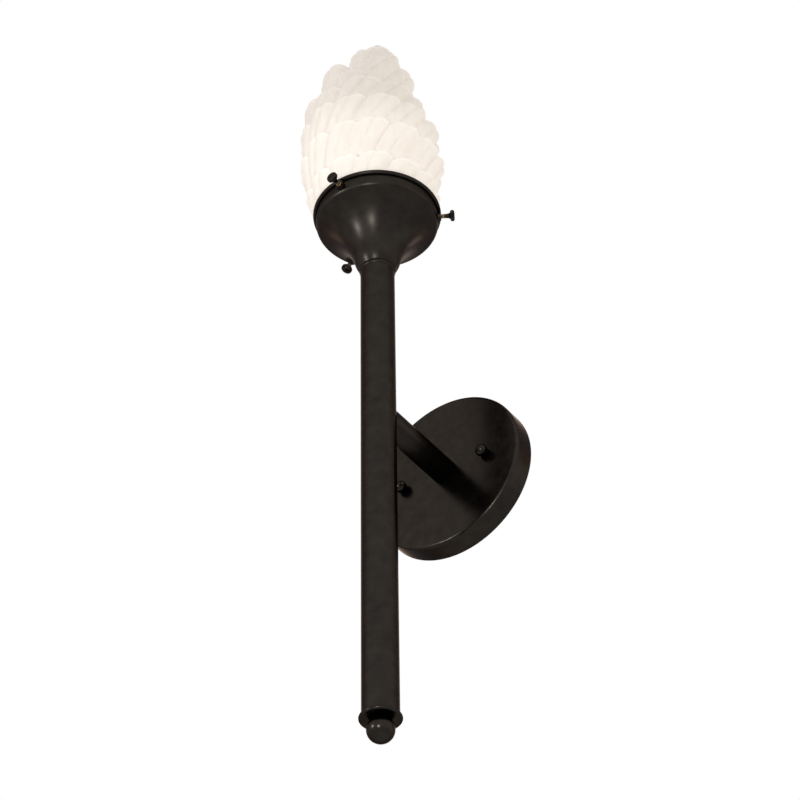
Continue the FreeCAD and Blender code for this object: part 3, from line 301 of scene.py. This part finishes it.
# From the ring on the tube, over the groove and the swelling of the foot, up the sweep to the band and the
# rolled bead, and back down the inside.
bell_outline = [
    (5.3, BELL_FOOT), (12.2, BELL_FOOT), (12.7, 133.7), (13.1, 134.3), (13.25, 135.1), (13.2, 135.8),
    (12.95, 136.5), (12.85, 136.9), (13.1, 137.4), (13.6, 138.1), (14.5, 139.6), (15.45, 141.4),
    (16.25, 143.3),
]
bell_outline += arc(SWEEP_CENTRE, SWEEP_RADIUS, 180 - SWEEP_START, 180 - SWEEP_END, 40)
bell_outline += arc(SHOULDER_CENTRE, SHOULDER_RADIUS, -SWEEP_END, 0, 10)
bell_outline += arc(BEAD_CENTRE, BEAD_RADIUS, -116, 180, 26)
bell_outline += arc(SHOULDER_CENTRE, SHOULDER_RADIUS - SHEET, 0, -SWEEP_END, 8)
bell_outline += arc(SWEEP_CENTRE, SWEEP_RADIUS + SHEET, 180 - SWEEP_END, 180 - SWEEP_START, 30)
bell_outline += [
    (15.4, 143.5), (14.6, 141.8), (13.7, 140.1), (12.7, 138.6), (12.1, 137.4), (11.8, 136.4), (11.6, 135.2),
    (11.2, 134.3), (5.3, BELL_FOOT + SHEET), (5.3, BELL_FOOT),
]
bell_mesh = lathe(bell_outline, 144)
shade_smooth(bell_mesh, 40)
bell = stood(bell_mesh, (0, TUBE_Y, 0), (0, 0, 1))
placed("spun_bell", [bell], "sconce", "bell_fitter", bell_bronze)

# ------------------------------------------------------------------ thumb screws
# Three brass thumb screws with a knurled head hold the glass by its lip. Next to its boss, each shank is
# brass-coloured.
SCREW_TIP, SCREW_SHANK, SCREW_HEIGHT = 38.8, 15.6, 187.0
SCREW_RADIUS, SCREW_DEPTH, SCREW_PITCH, HEAD_RADIUS, HEAD_THICK = 1.75, 0.28, 0.79, 4.15, 3.2
KNURLS, KNURL_BREADTH = 30, 0.42


def ridge_tree():
    """Straight ridges round the turned piece that comes in, such as a knurl or the ribs of a cap."""
    tree, given, out = tree_of("ridges_round", {
        "Count": "Int", "Radius": "Float", "Breadth": "Float", "Middle": "Float", "Length": "Float",
        "Lean": "Float", "Finish": "Material",
    })
    index = add(tree, "GeometryNodeInputIndex")
    step = add(tree, "ShaderNodeMath", {0: math.tau, 1: given["Count"]}, operation="DIVIDE")
    turn = add(tree, "ShaderNodeMath", {0: index.outputs[0], 1: step.outputs[0]}, operation="MULTIPLY")
    start = add(tree, "ShaderNodeCombineXYZ", {"X": given["Radius"], "Z": given["Middle"]})
    spot = add(tree, "ShaderNodeVectorRotate", {
        "Vector": start.outputs[0], "Angle": turn.outputs[0],
    }, rotation_type="Z_AXIS")
    spots = add(tree, "GeometryNodePoints", {"Count": given["Count"], "Position": spot.outputs[0]})
    bar = add(tree, "GeometryNodeMeshCylinder", {
        "Vertices": 4, "Radius": given["Breadth"], "Depth": given["Length"],
    })
    angles = add(tree, "ShaderNodeCombineXYZ", {"Y": given["Lean"], "Z": turn.outputs[0]})
    facing = add(tree, "FunctionNodeEulerToRotation", {"Euler": angles.outputs[0]})
    ridges = add(tree, "GeometryNodeInstanceOnPoints", {
        "Points": spots.outputs[0], "Instance": bar.outputs[0], "Rotation": facing.outputs[0],
    })
    whole = add(tree, "GeometryNodeJoinGeometry")
    tree.links.new(ridges.outputs[0], whole.inputs[0])
    tree.links.new(given["Geometry"], whole.inputs[0])
    real = add(tree, "GeometryNodeRealizeInstances", {"Geometry": whole.outputs[0]})
    dressed = add(tree, "GeometryNodeSetMaterial", {"Geometry": real.outputs[0], "Material": given["Finish"]})
    tree.links.new(dressed.outputs[0], out)
    return tree


ridges_round = ridge_tree()
screw_bronze = bronze("oil_rubbed_bronze_thumb_screw", (0, TUBE_Y, 0), (0, 0, 1), 0.6)


def shank_brass_band(material, near, far, band_colour):
    """Turns a bronze finish to a brass colour between two distances from the tube's axis, in mm."""
    tree = material.node_tree
    surface = next(node for node in tree.nodes if node.type == "BSDF_PRINCIPLED")
    place = add(tree, "ShaderNodeTexCoord").outputs["Object"]
    axis = (0, TUBE_Y * MM, 0)
    moved = add(tree, "ShaderNodeVectorMath", {0: place, 1: axis}, operation="SUBTRACT").outputs[0]
    flat = add(tree, "ShaderNodeVectorMath", {0: moved, 1: (1, 1, 0)}, operation="MULTIPLY").outputs[0]
    reach = add(tree, "ShaderNodeVectorMath", {0: flat}, operation="LENGTH").outputs["Value"]
    share = add(tree, "ShaderNodeMapRange", {
        "Value": reach, "From Min": near * MM, "From Max": far * MM, "To Min": 1.0, "To Max": 0.0,
    }, interpolation_type="SMOOTHSTEP").outputs["Result"]
    whole = surface.inputs["Base Color"].links[0].from_socket
    tint = add(tree, "ShaderNodeMix", {0: share, 6: whole, 7: seen(band_colour)}, data_type="RGBA")
    tree.links.new(tint.outputs[2], surface.inputs["Base Color"])


shank_brass_band(screw_bronze, 48.5, 51.5, "#9a8468")
SCREW_CORE, HEAD_RIM = SCREW_RADIUS - SCREW_DEPTH, HEAD_RADIUS - 0.3
screw_body = lathe([
    (0, 0), (1.1, 0), (SCREW_CORE, 0.5), (SCREW_CORE, 12.6), (SCREW_RADIUS, 13.2), (SCREW_RADIUS, 14.0),
    (2.1, 15.0), (2.55, SCREW_SHANK), (HEAD_RIM - 0.7, SCREW_SHANK), (HEAD_RIM - 0.2, SCREW_SHANK + 0.2),
    (HEAD_RIM, SCREW_SHANK + 0.6), (HEAD_RIM, SCREW_SHANK + HEAD_THICK - 0.7),
    (HEAD_RIM - 0.25, SCREW_SHANK + HEAD_THICK - 0.3), (HEAD_RIM - 0.8, SCREW_SHANK + HEAD_THICK - 0.05),
    (HEAD_RIM - 1.1, SCREW_SHANK + HEAD_THICK), (0, SCREW_SHANK + HEAD_THICK - 0.1),
], 48)
threaded_screw = grown(screw_body, rolled_thread, {
    "Radius": SCREW_RADIUS * MM, "Depth": SCREW_DEPTH * MM, "Pitch": SCREW_PITCH * MM, "Start": 0.3 * MM,
    "Length": 12.4 * MM, "Finish": screw_bronze,
})
knurled_screw = grown(threaded_screw, ridges_round, {
    "Count": KNURLS, "Radius": (HEAD_RIM - 0.1) * MM, "Breadth": KNURL_BREADTH * MM,
    "Middle": (SCREW_SHANK + HEAD_THICK / 2) * MM, "Length": (HEAD_THICK - 1.1) * MM, "Lean": 0.0,
    "Finish": screw_bronze,
})
shade_smooth(knurled_screw)
for side, azimuth in (("front", -90), ("right", 30), ("left", 150)):
    out = Vector((math.cos(math.radians(azimuth)), math.sin(math.radians(azimuth)), 0))
    foot = Vector((0, TUBE_Y, SCREW_HEIGHT)) + out * SCREW_TIP
    dress(screw_bronze, f"thumb_screw_{side}")
    mesh = stood(knurled_screw, foot, out)
    placed(
        f"knurled_screw_{side}", [mesh], f"body_thumb_screw_{side}", f"thumb_screw_{side}",
        screw_bronze,
    )

# ------------------------------------------------------------------ lampholder
# A glazed porcelain holder on a bent steel strap, with a rolled brass screw shell, a spring brass contact
# and two terminal screws, one brass and one nickel plated.
glazed_porcelain, _, _ = finish(
    "glazed_porcelain", "#f4f2ea", "#ebe7db", 6.0, (0.08, 0.16), 0.01, Coat_Weight=0.6, Coat_Roughness=0.05,
)
dress(glazed_porcelain, "socket_body")
plain_brass, _, _ = finish("rolled_brass", "#d9b25c", "#b98f3c", 2.0, (0.22, 0.35), 0.01, Metallic=1.0)
dress(plain_brass, "socket_shell", "socket_contact", "terminal_screw_live")
nickel_plate, _, _ = finish("nickel_plated_brass", "#d3cfc6", "#b9b4a9", 1.5, (0.2, 0.32), 0.01, Metallic=1.0)
dress(nickel_plate, "terminal_screw_neutral", "bulb_contact")

# ------------------------------------------------------------------ leads and wire nuts
# Two stranded leads in extruded vinyl run from the terminals down the tube and out of the arm, and a green
# one grounds the bar. Moulded wire nuts with ribs for the fingers close the splices.
black_vinyl, _, _ = finish("black_vinyl_insulation", "#232323", "#161616", 1.5, (0.42, 0.55), 0.02)
white_vinyl, _, _ = finish("white_vinyl_insulation", "#e9e6de", "#d8d4ca", 1.5, (0.4, 0.52), 0.02)
green_vinyl, _, _ = finish("green_vinyl_insulation", "#2c8a4a", "#1f6d38", 1.5, (0.42, 0.55), 0.02)
dress(black_vinyl, "black_lead")
dress(white_vinyl, "white_lead")
dress(green_vinyl, "ground_lead")
orange_cap, _, _ = finish(
    "moulded_thermoplastic_orange", "#dc7a2a", "#c9661c", 0.8, (0.38, 0.5), 0.03,
)
dress(orange_cap, "wire_nuts")
CAP_MOUTH, CAP_TIP, CAP_LENGTH, CAP_RIBS = 5.5, 3.25, 20.0, 12
SPLICE_Y = -7.9
cap_body = lathe([
    (4.2, 4.0), (4.2, 0), (CAP_MOUTH - 0.3, 0), (CAP_MOUTH, 0.3), (CAP_MOUTH - 0.15, 4.0),
    (CAP_MOUTH - 0.75, 4.8),
    (CAP_TIP - 0.35, CAP_LENGTH - 1.0), (CAP_TIP - 0.7, CAP_LENGTH - 0.3), (CAP_TIP - 1.3, CAP_LENGTH),
    (0, CAP_LENGTH),
], 48)
ribbed_cap = grown(cap_body, ridges_round, {
    "Count": CAP_RIBS, "Radius": 3.92 * MM, "Breadth": 0.6 * MM, "Middle": 11.6 * MM, "Length": 14.0 * MM,
    "Lean": -math.atan2(CAP_MOUTH - 0.75 - CAP_TIP + 0.35, CAP_LENGTH - 5.8), "Finish": orange_cap,
})
shade_smooth(ribbed_cap)
UP, DOWN = (0, 0, 1), (0, 0, -1)
CAP_PLACES = [((14, SPLICE_Y, 10), UP), ((-14, SPLICE_Y, 10), UP), ((-18, SPLICE_Y, -16), DOWN)]
caps = [stood(ribbed_cap, foot, towards) for foot, towards in CAP_PLACES]
placed("ribbed_wire_nuts", caps, "sconce", "wire_nuts", orange_cap)

# ------------------------------------------------------------------ lamp
# A round soft-white lamp. Its globe is blown glass, frosted inside, its cap is rolled aluminium with a black
# glass insulator, and a clear stem carries the tungsten filament.
soft_white, _, _ = finish(
    "frosted_lamp_glass", "#fbf8f2", "#f3efe6", 4.0, (0.2, 0.3), 0.005,
    Emission_Color=seen("#ffedd2"), Emission_Strength=6.0,
)
dress(soft_white, "bulb_globe")
rolled_aluminium, _, _ = finish(
    "rolled_aluminium", "#d4d5d6", "#b9babc", 1.5, (0.25, 0.38), 0.01, Metallic=1.0,
)
dress(rolled_aluminium, "bulb_cap")
black_glass, _, _ = finish("black_vitrified_glass", "#1b1b1e", "#101013", 2.0, (0.05, 0.12), 0.005, IOR=1.55)
dress(black_glass, "bulb_insulator")
clear_glass, _, _ = finish(
    "clear_stem_glass", "#f4f8f7", "#eef4f3", 3.0, (0.02, 0.05), 0.002, Transmission_Weight=1.0, IOR=1.5,
)
dress(clear_glass, "bulb_stem")
tungsten, _, _ = finish("drawn_tungsten", "#8d8a86", "#6f6c69", 0.5, (0.3, 0.45), 0.005, Metallic=1.0)
dress(tungsten, "bulb_filament")

# ------------------------------------------------------------------ glass flame
# The shade is pressed glass, frosted in acid. Seven tiers of broad tongues lean the same way round and
# overlap like scales, under the flame's own tip. A painted glow stands in for the lamp's light in the wall
# where the lamp is near.
SEAT, SHADE_TOP = 180.5, 378.5
TONGUE_LENGTH, FULLNESS, TIP_SLOPE, RIM_ROUND = 46.0, 0.59, 1.15, 2.4
# The last of these sizes is how far down from a tongue's tip its painted rim highlight reaches, in mm.
SQUARENESS, FLARE, FLUTE, WANDER, RIM_HIGHLIGHT_BAND = 3.2, 1.2, 1.8, 1.6, 4.5
# Tongues, height of their tips, radius at their feet and at their tips, stand-off, twist and direction. The
# last two are the number of a tongue that stops short, and by how much.
TIERS = [
    (12, 210.2, 45.4, 50.2, 2.0, 8, 220, 0, 0),
    (13, 243.1, 44.0, 54.0, 3.5, 20, 33, 0, 0),
    (12, 271.6, 47.0, 52.4, 5.0, 27, 232, 0, 0),
    (10, 297.9, 43.7, 46.2, 8.6, 34, 236, 1, 6),
    (8, 333.6, 37.0, 35.1, 6.4, 44, 249, 1, 14),
    (7, 358.5, 23.2, 19.0, 1.1, 52, 0, 0, 0),
    (4, 369.0, 13.0, 11.0, -0.8, 56, 340, 0, 0),
]
LEAN_TOWARDS = Vector((-0.82, -0.57, 0))


def tier_centre(stand_off):
    """The middle of a tier in mm: the flame leans a little off the tube's axis halfway up."""
    return Vector((0, TUBE_Y, 0)) + LEAN_TOWARDS * stand_off


def tier_tree():
    """Presses one tier of tongues out of the skin that comes in. A tongue is round in front, with shallow
    flutes, and a rounded rim closes its arched tip. The skin moves out to it and never in."""
    tree, given, out = tree_of("tier_of_tongues", {
        "Tongues": "Int", "Foot": "Float", "Tip": "Float", "Foot radius": "Float", "Tip radius": "Float",
        "Fullness": "Float", "Slope": "Float", "Rim": "Float", "Twist": "Float", "Direction": "Float",
        "Centre": "Vector", "Flute": "Float", "Flare": "Float", "Wander": "Float", "Low tongue": "Int",
        "Drop": "Float", "Seed": "Int", "Finish": "Material",
    })
    outer = add(tree, "GeometryNodeInputNamedAttribute", {"Name": "outer"}, data_type="FLOAT").outputs[0]
    rim_highlight_before = add(tree, "GeometryNodeInputNamedAttribute", {"Name": "rim"}, data_type="FLOAT").outputs[0]

    def calc(operation, *values):
        return add(tree, "ShaderNodeMath", dict(enumerate(values)), operation=operation).outputs[0]

    def clamped(value, low, high):
        return calc("MINIMUM", calc("MAXIMUM", value, low), high)

    spot = add(tree, "GeometryNodeInputPosition").outputs[0]
    away = add(tree, "ShaderNodeVectorMath", {0: spot, 1: given["Centre"]}, operation="SUBTRACT").outputs[0]
    x, y, z = add(tree, "ShaderNodeSeparateXYZ", {0: away}).outputs
    now = calc("SQRT", calc("ADD", calc("MULTIPLY", x, x), calc("MULTIPLY", y, y)))
    azimuth = calc("ARCTAN2", y, x)
    rise = calc("SUBTRACT", given["Tip"], given["Foot"])
    share = clamped(calc("DIVIDE", calc("SUBTRACT", z, given["Foot"]), rise), -0.1, 1.2)
    swing = calc("SUBTRACT", given["Tip radius"], given["Foot radius"])
    straight = calc("MULTIPLY_ADD", share, swing, given["Foot radius"])
    flared = calc("POWER", calc("MAXIMUM", share, 0.0), 5.0)
    outside = calc("MULTIPLY_ADD", flared, given["Flare"], straight)
    pace = calc("DIVIDE", math.tau, given["Tongues"])
    half = calc("MULTIPLY", given["Fullness"], calc("MULTIPLY", outside, pace))
    middle = calc("SUBTRACT", outside, half)
    upright = calc("MAXIMUM", share, 0.0)
    lean = calc("MULTIPLY", calc("SUBTRACT", 1.0, calc("POWER", upright, 1.5)), given["Twist"])
    turned = calc("ADD", calc("SUBTRACT", azimuth, given["Direction"]), lean)
    phase = calc("DIVIDE", turned, pace)
    whole = calc("FLOOR", phase)
    reach, rim = now, rim_highlight_before
    for step in (0.0, 1.0):
        number = calc("ADD", whole, step)
        mark = calc("FLOORED_MODULO", number, given["Tongues"])
        chance = [
            add(tree, "FunctionNodeRandomValue", {
                2: -1.0, 3: 1.0, "ID": mark, "Seed": calc("ADD", given["Seed"], offset),
            }, data_type="FLOAT").outputs[1]
            for offset in (0, 7, 19)
        ]
        off = calc("SUBTRACT", calc("SUBTRACT", phase, number), calc("MULTIPLY", chance[1], 0.05))
        angle = calc("MULTIPLY", off, pace)
        aside = calc("DIVIDE", calc("MULTIPLY", middle, calc("SINE", angle)), half)
        edge = clamped(calc("ABSOLUTE", aside), 0.0, 0.999)
        round_front = calc("POWER", calc("SUBTRACT", 1.0, calc("POWER", edge, SQUARENESS)), 1 / SQUARENESS)
        shifted = calc("MULTIPLY_ADD", chance[2], 0.8, calc("MULTIPLY", aside, 10.0))
        ridge = calc("ABSOLUTE", calc("SINE", calc("MULTIPLY", shifted, 0.5)))
        wave = calc("SUBTRACT", calc("SQRT", ridge), 0.75)
        fade = calc("SUBTRACT", 1.0, calc("POWER", edge, 3.0))
        groove = calc("MULTIPLY", calc("MULTIPLY", wave, fade), given["Flute"])
        front = calc("MULTIPLY_ADD", half, round_front, calc("MULTIPLY", middle, calc("COSINE", angle)))
        face = calc("ADD", front, groove)
        fall = calc("MULTIPLY", calc("SUBTRACT", outside, front), given["Slope"])
        is_low = calc("COMPARE", mark, given["Low tongue"], 0.5)
        stray = calc("MULTIPLY", chance[0], given["Wander"])
        lift = calc("SUBTRACT", stray, calc("MULTIPLY", is_low, given["Drop"]))
        arch = calc("SUBTRACT", calc("ADD", lift, given["Tip"]), fall)
        inside = clamped(calc("DIVIDE", calc("SUBTRACT", arch, z), given["Rim"]), 0.0, 1.0)
        back = calc("SUBTRACT", 1.0, inside)
        shoulder = calc("SQRT", calc("SUBTRACT", 1.0, calc("MULTIPLY", back, back)))
        proud = calc("MAXIMUM", calc("SUBTRACT", face, now), 0.0)
        pressed = calc("MULTIPLY_ADD", proud, shoulder, now)
        # Painted highlight: the rim mark covers a band below the arch of whichever tongue lies on top.
        from_tip = calc("DIVIDE", calc("SUBTRACT", arch, z), RIM_HIGHLIGHT_BAND * MM)
        highlight_near_tip = calc("SUBTRACT", 1.0, clamped(from_tip, 0.0, 1.0))
        ahead = calc("GREATER_THAN", pressed, calc("ADD", reach, 0.0001))
        kept = calc("MULTIPLY", calc("SUBTRACT", 1.0, ahead), rim)
        rim = calc("MULTIPLY_ADD", ahead, highlight_near_tip, kept)
        reach = calc("SMOOTH_MAX", reach, pressed, 0.0006)
    scale = calc("DIVIDE", reach, calc("MAXIMUM", now, 0.0001))
    moved = add(tree, "ShaderNodeCombineXYZ", {
        "X": calc("MULTIPLY", x, scale), "Y": calc("MULTIPLY", y, scale), "Z": z,
    })
    place = add(tree, "ShaderNodeVectorMath", {0: moved.outputs[0], 1: given["Centre"]}, operation="ADD")
    high = calc("MULTIPLY", calc("GREATER_THAN", z, given["Foot"]), outer)
    # The painted rim highlight mark is stored on the pressed outside only.
    marked = add(tree, "GeometryNodeStoreNamedAttribute", {
        "Geometry": given["Geometry"], "Selection": high, "Name": "rim", "Value": rim,
    }, domain="POINT", data_type="FLOAT")
    pushed = add(tree, "GeometryNodeSetPosition", {
        "Geometry": marked.outputs[0], "Selection": high, "Position": place.outputs[0],
    })
    dressed = add(tree, "GeometryNodeSetMaterial", {
        "Geometry": pushed.outputs[0], "Material": given["Finish"],
    })
    tree.links.new(dressed.outputs[0], out)
    return tree


def stacked(inner, outer, sides):
    """A closed wall through level rings, each a height, a radius and a centre in mm: down the hollow from its
    top, then up the outside. The outside is marked, because only that is pressed."""
    form = bmesh.new()
    mark = form.verts.layers.float.new("outer")
    # The rim layer carries the painted rim highlight.
    form.verts.layers.float.new("rim")
    loops = []
    for rings, outside in ((inner, 0.0), (outer, 1.0)):
        for z, r, centre in rings:
            loop = []
            for a in (math.tau * k / sides for k in range(sides)):
                spot = ((centre.x + r * math.cos(a)) * MM, (centre.y + r * math.sin(a)) * MM, z * MM)
                loop.append(form.verts.new(spot))
                loop[-1][mark] = outside
            loops.append(loop)
    for low, high in zip(loops, loops[1:]):
        for k in range(sides):
            form.faces.new((low[k], low[(k + 1) % sides], high[(k + 1) % sides], high[k]))
    form.faces.new(loops[0][::-1])
    form.faces.new(loops[-1])
    mesh = bpy.data.meshes.new("stacked")
    form.to_mesh(mesh)
    form.free()
    return mesh


def along(height, marks):
    """The value and the centre at a height, read between marks of (height, value, stand-off), in mm."""
    heights, values, stand_offs = zip(*marks)
    stand_off = float(np.interp(height, heights, stand_offs))
    return float(np.interp(height, heights, values)), tier_centre(stand_off)


SWELL_FOOT, SWELL_TOP, BODY_INSET, WALL = 189.7, 197.2, 7.0, 9.5
CREST_RADIUS, CREST_FOOT, CREST_FOOT_RADIUS = 4.8, 357.0, 8.0
ROW_STEP, AROUND = 0.66, 288


def flame_mesh(material):
    """Lip, neck and a smooth blank of the body, out of which each tier is pressed, less the hollow."""
    body = [(SWELL_TOP - 0.4, 43.5, 0)]
    floor = SWELL_TOP
    for _, tip, foot_r, tip_r, stand_off, *_ in TIERS:
        foot = max(tip - TONGUE_LENGTH, SWELL_TOP - 1)
        middle = (floor + tip) / 2
        outside = foot_r + (tip_r - foot_r) * (middle - foot) / (tip - foot)
        body.append((middle, outside - BODY_INSET, stand_off))
        floor = tip
    last_off = TIERS[-1][4]
    ball = SHADE_TOP - CREST_RADIUS
    axis = tier_centre(0)
    rings = [
        (SEAT, 40.6, axis), (SEAT + 0.6, 41.2, axis), (SEAT + 3.6, 41.2, axis), (SEAT + 4.4, 40.4, axis),
        (SEAT + 4.7, 38.7, axis), (SEAT + 9.2, 38.5, axis), (SEAT + 12, 40.3, axis),
    ]
    rows = int((SHADE_TOP - SWELL_TOP) / ROW_STEP)
    for row in range(rows):
        z = SWELL_TOP + row * ROW_STEP
        radius, centre = along(z, body)
        if z > CREST_FOOT:
            slope = (CREST_FOOT_RADIUS - 0.95 * CREST_RADIUS) / (ball - CREST_FOOT)
            radius = max(radius, CREST_FOOT_RADIUS - slope * (z - CREST_FOOT))
            if z > ball:
                radius = math.sqrt(max(CREST_RADIUS**2 - (z - ball) ** 2, 0.01))
                centre = tier_centre(last_off)
        rings.append((z, radius, centre))
    rings.append((SHADE_TOP - 0.02, 0.4, tier_centre(last_off)))
    hollow = [(SEAT, 34.5, axis), (SWELL_FOOT, 34.5, axis)]
    for z, radius, stand_off in body[1:-2]:
        hollow.append((z, radius + BODY_INSET - WALL, tier_centre(stand_off)))
    top_z, top_radius, top_centre = hollow[-1]
    hollow.append((top_z + 6, 0.5 * top_radius, top_centre))
    hollow.append((top_z + 8, 0.5, top_centre))
    skin = stacked(hollow[::-1], rings, AROUND)
    press = tier_tree()
    for row, (count, tip, foot_r, tip_r, stand_off, twist, direction, low, drop) in enumerate(TIERS):
        foot = max(tip - TONGUE_LENGTH, SWELL_TOP - 1)
        skin = grown(skin, press, {
            "Tongues": count, "Foot": foot * MM, "Tip": tip * MM, "Foot radius": foot_r * MM,
            "Tip radius": tip_r * MM, "Fullness": FULLNESS, "Slope": TIP_SLOPE, "Rim": RIM_ROUND * MM,
            "Twist": math.radians(twist), "Direction": math.radians(direction),
            "Centre": tier_centre(stand_off) * MM, "Flute": FLUTE * MM, "Flare": FLARE * MM,
            "Wander": WANDER * MM, "Low tongue": low, "Drop": drop * MM,
            "Seed": 11 * row, "Finish": material,
        })
    return skin


# Soda-lime glass, pressed and then frosted in acid: a fine satin that scatters the light in its wall. It
# looks warm grey-white where it is thick and far from the lamp.
frosted_flame, flame_tree, flame_surface = finish(
    "acid_frosted_pressed_glass", "#e4dbd2", "#ddd4ca", 5.0, (0.4, 0.5), 0.1, (1, 1, 0.2),
    IOR=1.5, Subsurface_Weight=0.15, Subsurface_Scale=0.002, Subsurface_Radius=(1.0, 0.95, 0.9),
    Emission_Strength=1.0,
)
# Painted highlight: a paler band just under each tongue's arched rim stands in for the light that catches the
# rims.
RIM_HIGHLIGHT = "#efe8e1"
flame_colour = flame_surface.inputs["Base Color"].links[0].from_socket
rim_highlight_share = add(flame_tree, "ShaderNodeAttribute", attribute_name="rim").outputs["Fac"]
rim_highlight_tint = add(flame_tree, "ShaderNodeMix", {
    0: rim_highlight_share, 6: flame_colour, 7: seen(RIM_HIGHLIGHT),
}, data_type="RGBA")
flame_tree.links.new(rim_highlight_tint.outputs[2], flame_surface.inputs["Base Color"])
# Painted glow: an emission stands in for the lamp shining through it from the bell up to about the lamp's
# top, and most where the wall is seen square on.
GLOW, GLOW_LOW, GLOW_HIGH = "#7d7a76", 235.0, 290.0
glow_place = add(flame_tree, "ShaderNodeTexCoord").outputs["Object"]
glow_height = add(flame_tree, "ShaderNodeSeparateXYZ", {0: glow_place}).outputs["Z"]
glow_share = add(flame_tree, "ShaderNodeMapRange", {
    "Value": glow_height, "From Min": GLOW_LOW * MM, "From Max": GLOW_HIGH * MM, "To Min": 1.0, "To Max": 0.0,
}, interpolation_type="SMOOTHSTEP").outputs["Result"]
slant = add(flame_tree, "ShaderNodeLayerWeight", {"Blend": 0.35}).outputs["Facing"]
square_on = add(flame_tree, "ShaderNodeMath", {0: 1.0, 1: slant}, operation="SUBTRACT").outputs[0]
through = add(flame_tree, "ShaderNodeMath", {0: glow_share, 1: square_on}, operation="MULTIPLY").outputs[0]
glow_tint = add(flame_tree, "ShaderNodeMix", {
    0: through, 6: seen("#000000"), 7: seen(GLOW),
}, data_type="RGBA")
flame_tree.links.new(glow_tint.outputs[2], flame_surface.inputs["Emission Color"])
dress(frosted_flame, "glass_shade")
flame = placed(
    "pressed_glass_flame", [flame_mesh(frosted_flame)], "sconce", "glass_shade", frosted_flame,
)
for face in flame.data.polygons:
    face.use_smooth = True

# ------------------------------------------------------------------ studio
# A plain pale floor far below the light, soft boxes, and a camera that looks up at it from below and from the
# right.
FLOOR_Z, FLOOR_REACH = -1.6, 9
floor_corners = [(x * FLOOR_REACH, y * FLOOR_REACH, FLOOR_Z) for x, y in ((-1, -1), (1, -1), (1, 1), (-1, 1))]
floor_mesh = bpy.data.meshes.new("floor")
floor_mesh.from_pydata(floor_corners, [], [(0, 1, 2, 3)])
floor = bpy.data.objects.new("floor", floor_mesh)
bpy.context.scene.collection.objects.link(floor)
pale_floor, _, _ = finish("matte_white_floor", "#f4f4f3", "#efefee", 400.0, (0.8, 0.9), 0.1)
floor_mesh.materials.append(pale_floor)

world = bpy.data.worlds.new("studio")
bpy.context.scene.world = world
world.use_nodes = True
world.node_tree.nodes.clear()
path = add(world.node_tree, "ShaderNodeLightPath").outputs
gloss = add(world.node_tree, "ShaderNodeMath", {
    0: path["Is Camera Ray"], 1: path["Is Glossy Ray"],
}, operation="MAXIMUM").outputs[0]
shown = add(world.node_tree, "ShaderNodeMath", {
    0: gloss, 1: path["Is Transmission Ray"],
}, operation="MAXIMUM").outputs[0]
fill = add(world.node_tree, "ShaderNodeBackground", {"Color": seen("#ffffff"), "Strength": 0.7}).outputs[0]
white = add(world.node_tree, "ShaderNodeBackground", {"Color": seen("#ffffff"), "Strength": 1.0}).outputs[0]
both = add(world.node_tree, "ShaderNodeMixShader", {0: shown, 1: fill, 2: white})
add(world.node_tree, "ShaderNodeOutputWorld", {"Surface": both.outputs[0]})


def soft_box(name, place, aim, width, height, watts, tint, mirrored=True):
    """A soft box that stands at a place and faces a point, in metres. It can be left out of reflections."""
    light = bpy.data.lights.new(name, "AREA")
    light.shape, light.color = "RECTANGLE", seen(tint)[:3]
    light.size, light.size_y, light.energy = width, height, watts
    box = bpy.data.objects.new(name, light)
    facing = (Vector(place) - Vector(aim)).to_track_quat("Z", "Y").to_matrix().to_4x4()
    box.matrix_world = Matrix.Translation(place) @ facing
    box.visible_camera = False
    box.visible_glossy = mirrored
    bpy.context.scene.collection.objects.link(box)


MIDDLE = (0, TUBE_Y * MM, 0.0)
soft_box("left_soft_box", (-0.50, -1.08, -0.08), MIDDLE, 0.15, 0.15, 3.2, "#ffffff")
soft_box("right_soft_box", (0.37, -1.13, -0.33), MIDDLE, 0.15, 0.15, 3.6, "#ffffff")
soft_box("right_fill_box", (1.6, 0.7, 0.1), MIDDLE, 0.9, 1.2, 10.0, "#fffaf2", False)
soft_box("warm_side_box", (-1.48, 0.115, 0.29), MIDDLE, 0.3, 0.4, 1.2, "#ffe9d0")
soft_box("warm_back_box", (0.17, 1.36, 0.45), MIDDLE, 0.3, 0.4, 2.0, "#ffe9d0")

CAMERA_PLACE = Vector((0.813485, -1.236749, -1.194563))
CAMERA_YAW, CAMERA_PITCH, CAMERA_ROLL = -0.609, 0.711, -0.014
camera_data = bpy.data.cameras.new("camera")
camera_data.sensor_width, camera_data.lens = 36.0, 119.04
camera = bpy.data.objects.new("camera", camera_data)
bpy.context.scene.collection.objects.link(camera)
camera.matrix_world = (
    Matrix.Translation(CAMERA_PLACE)
    @ Matrix.Rotation(-CAMERA_YAW, 4, "Z")
    @ Matrix.Rotation(math.pi / 2 + CAMERA_PITCH, 4, "X")
    @ Matrix.Rotation(CAMERA_ROLL, 4, "Z")
)
bpy.context.scene.camera = camera
bpy.context.scene.view_settings.view_transform = "Standard"
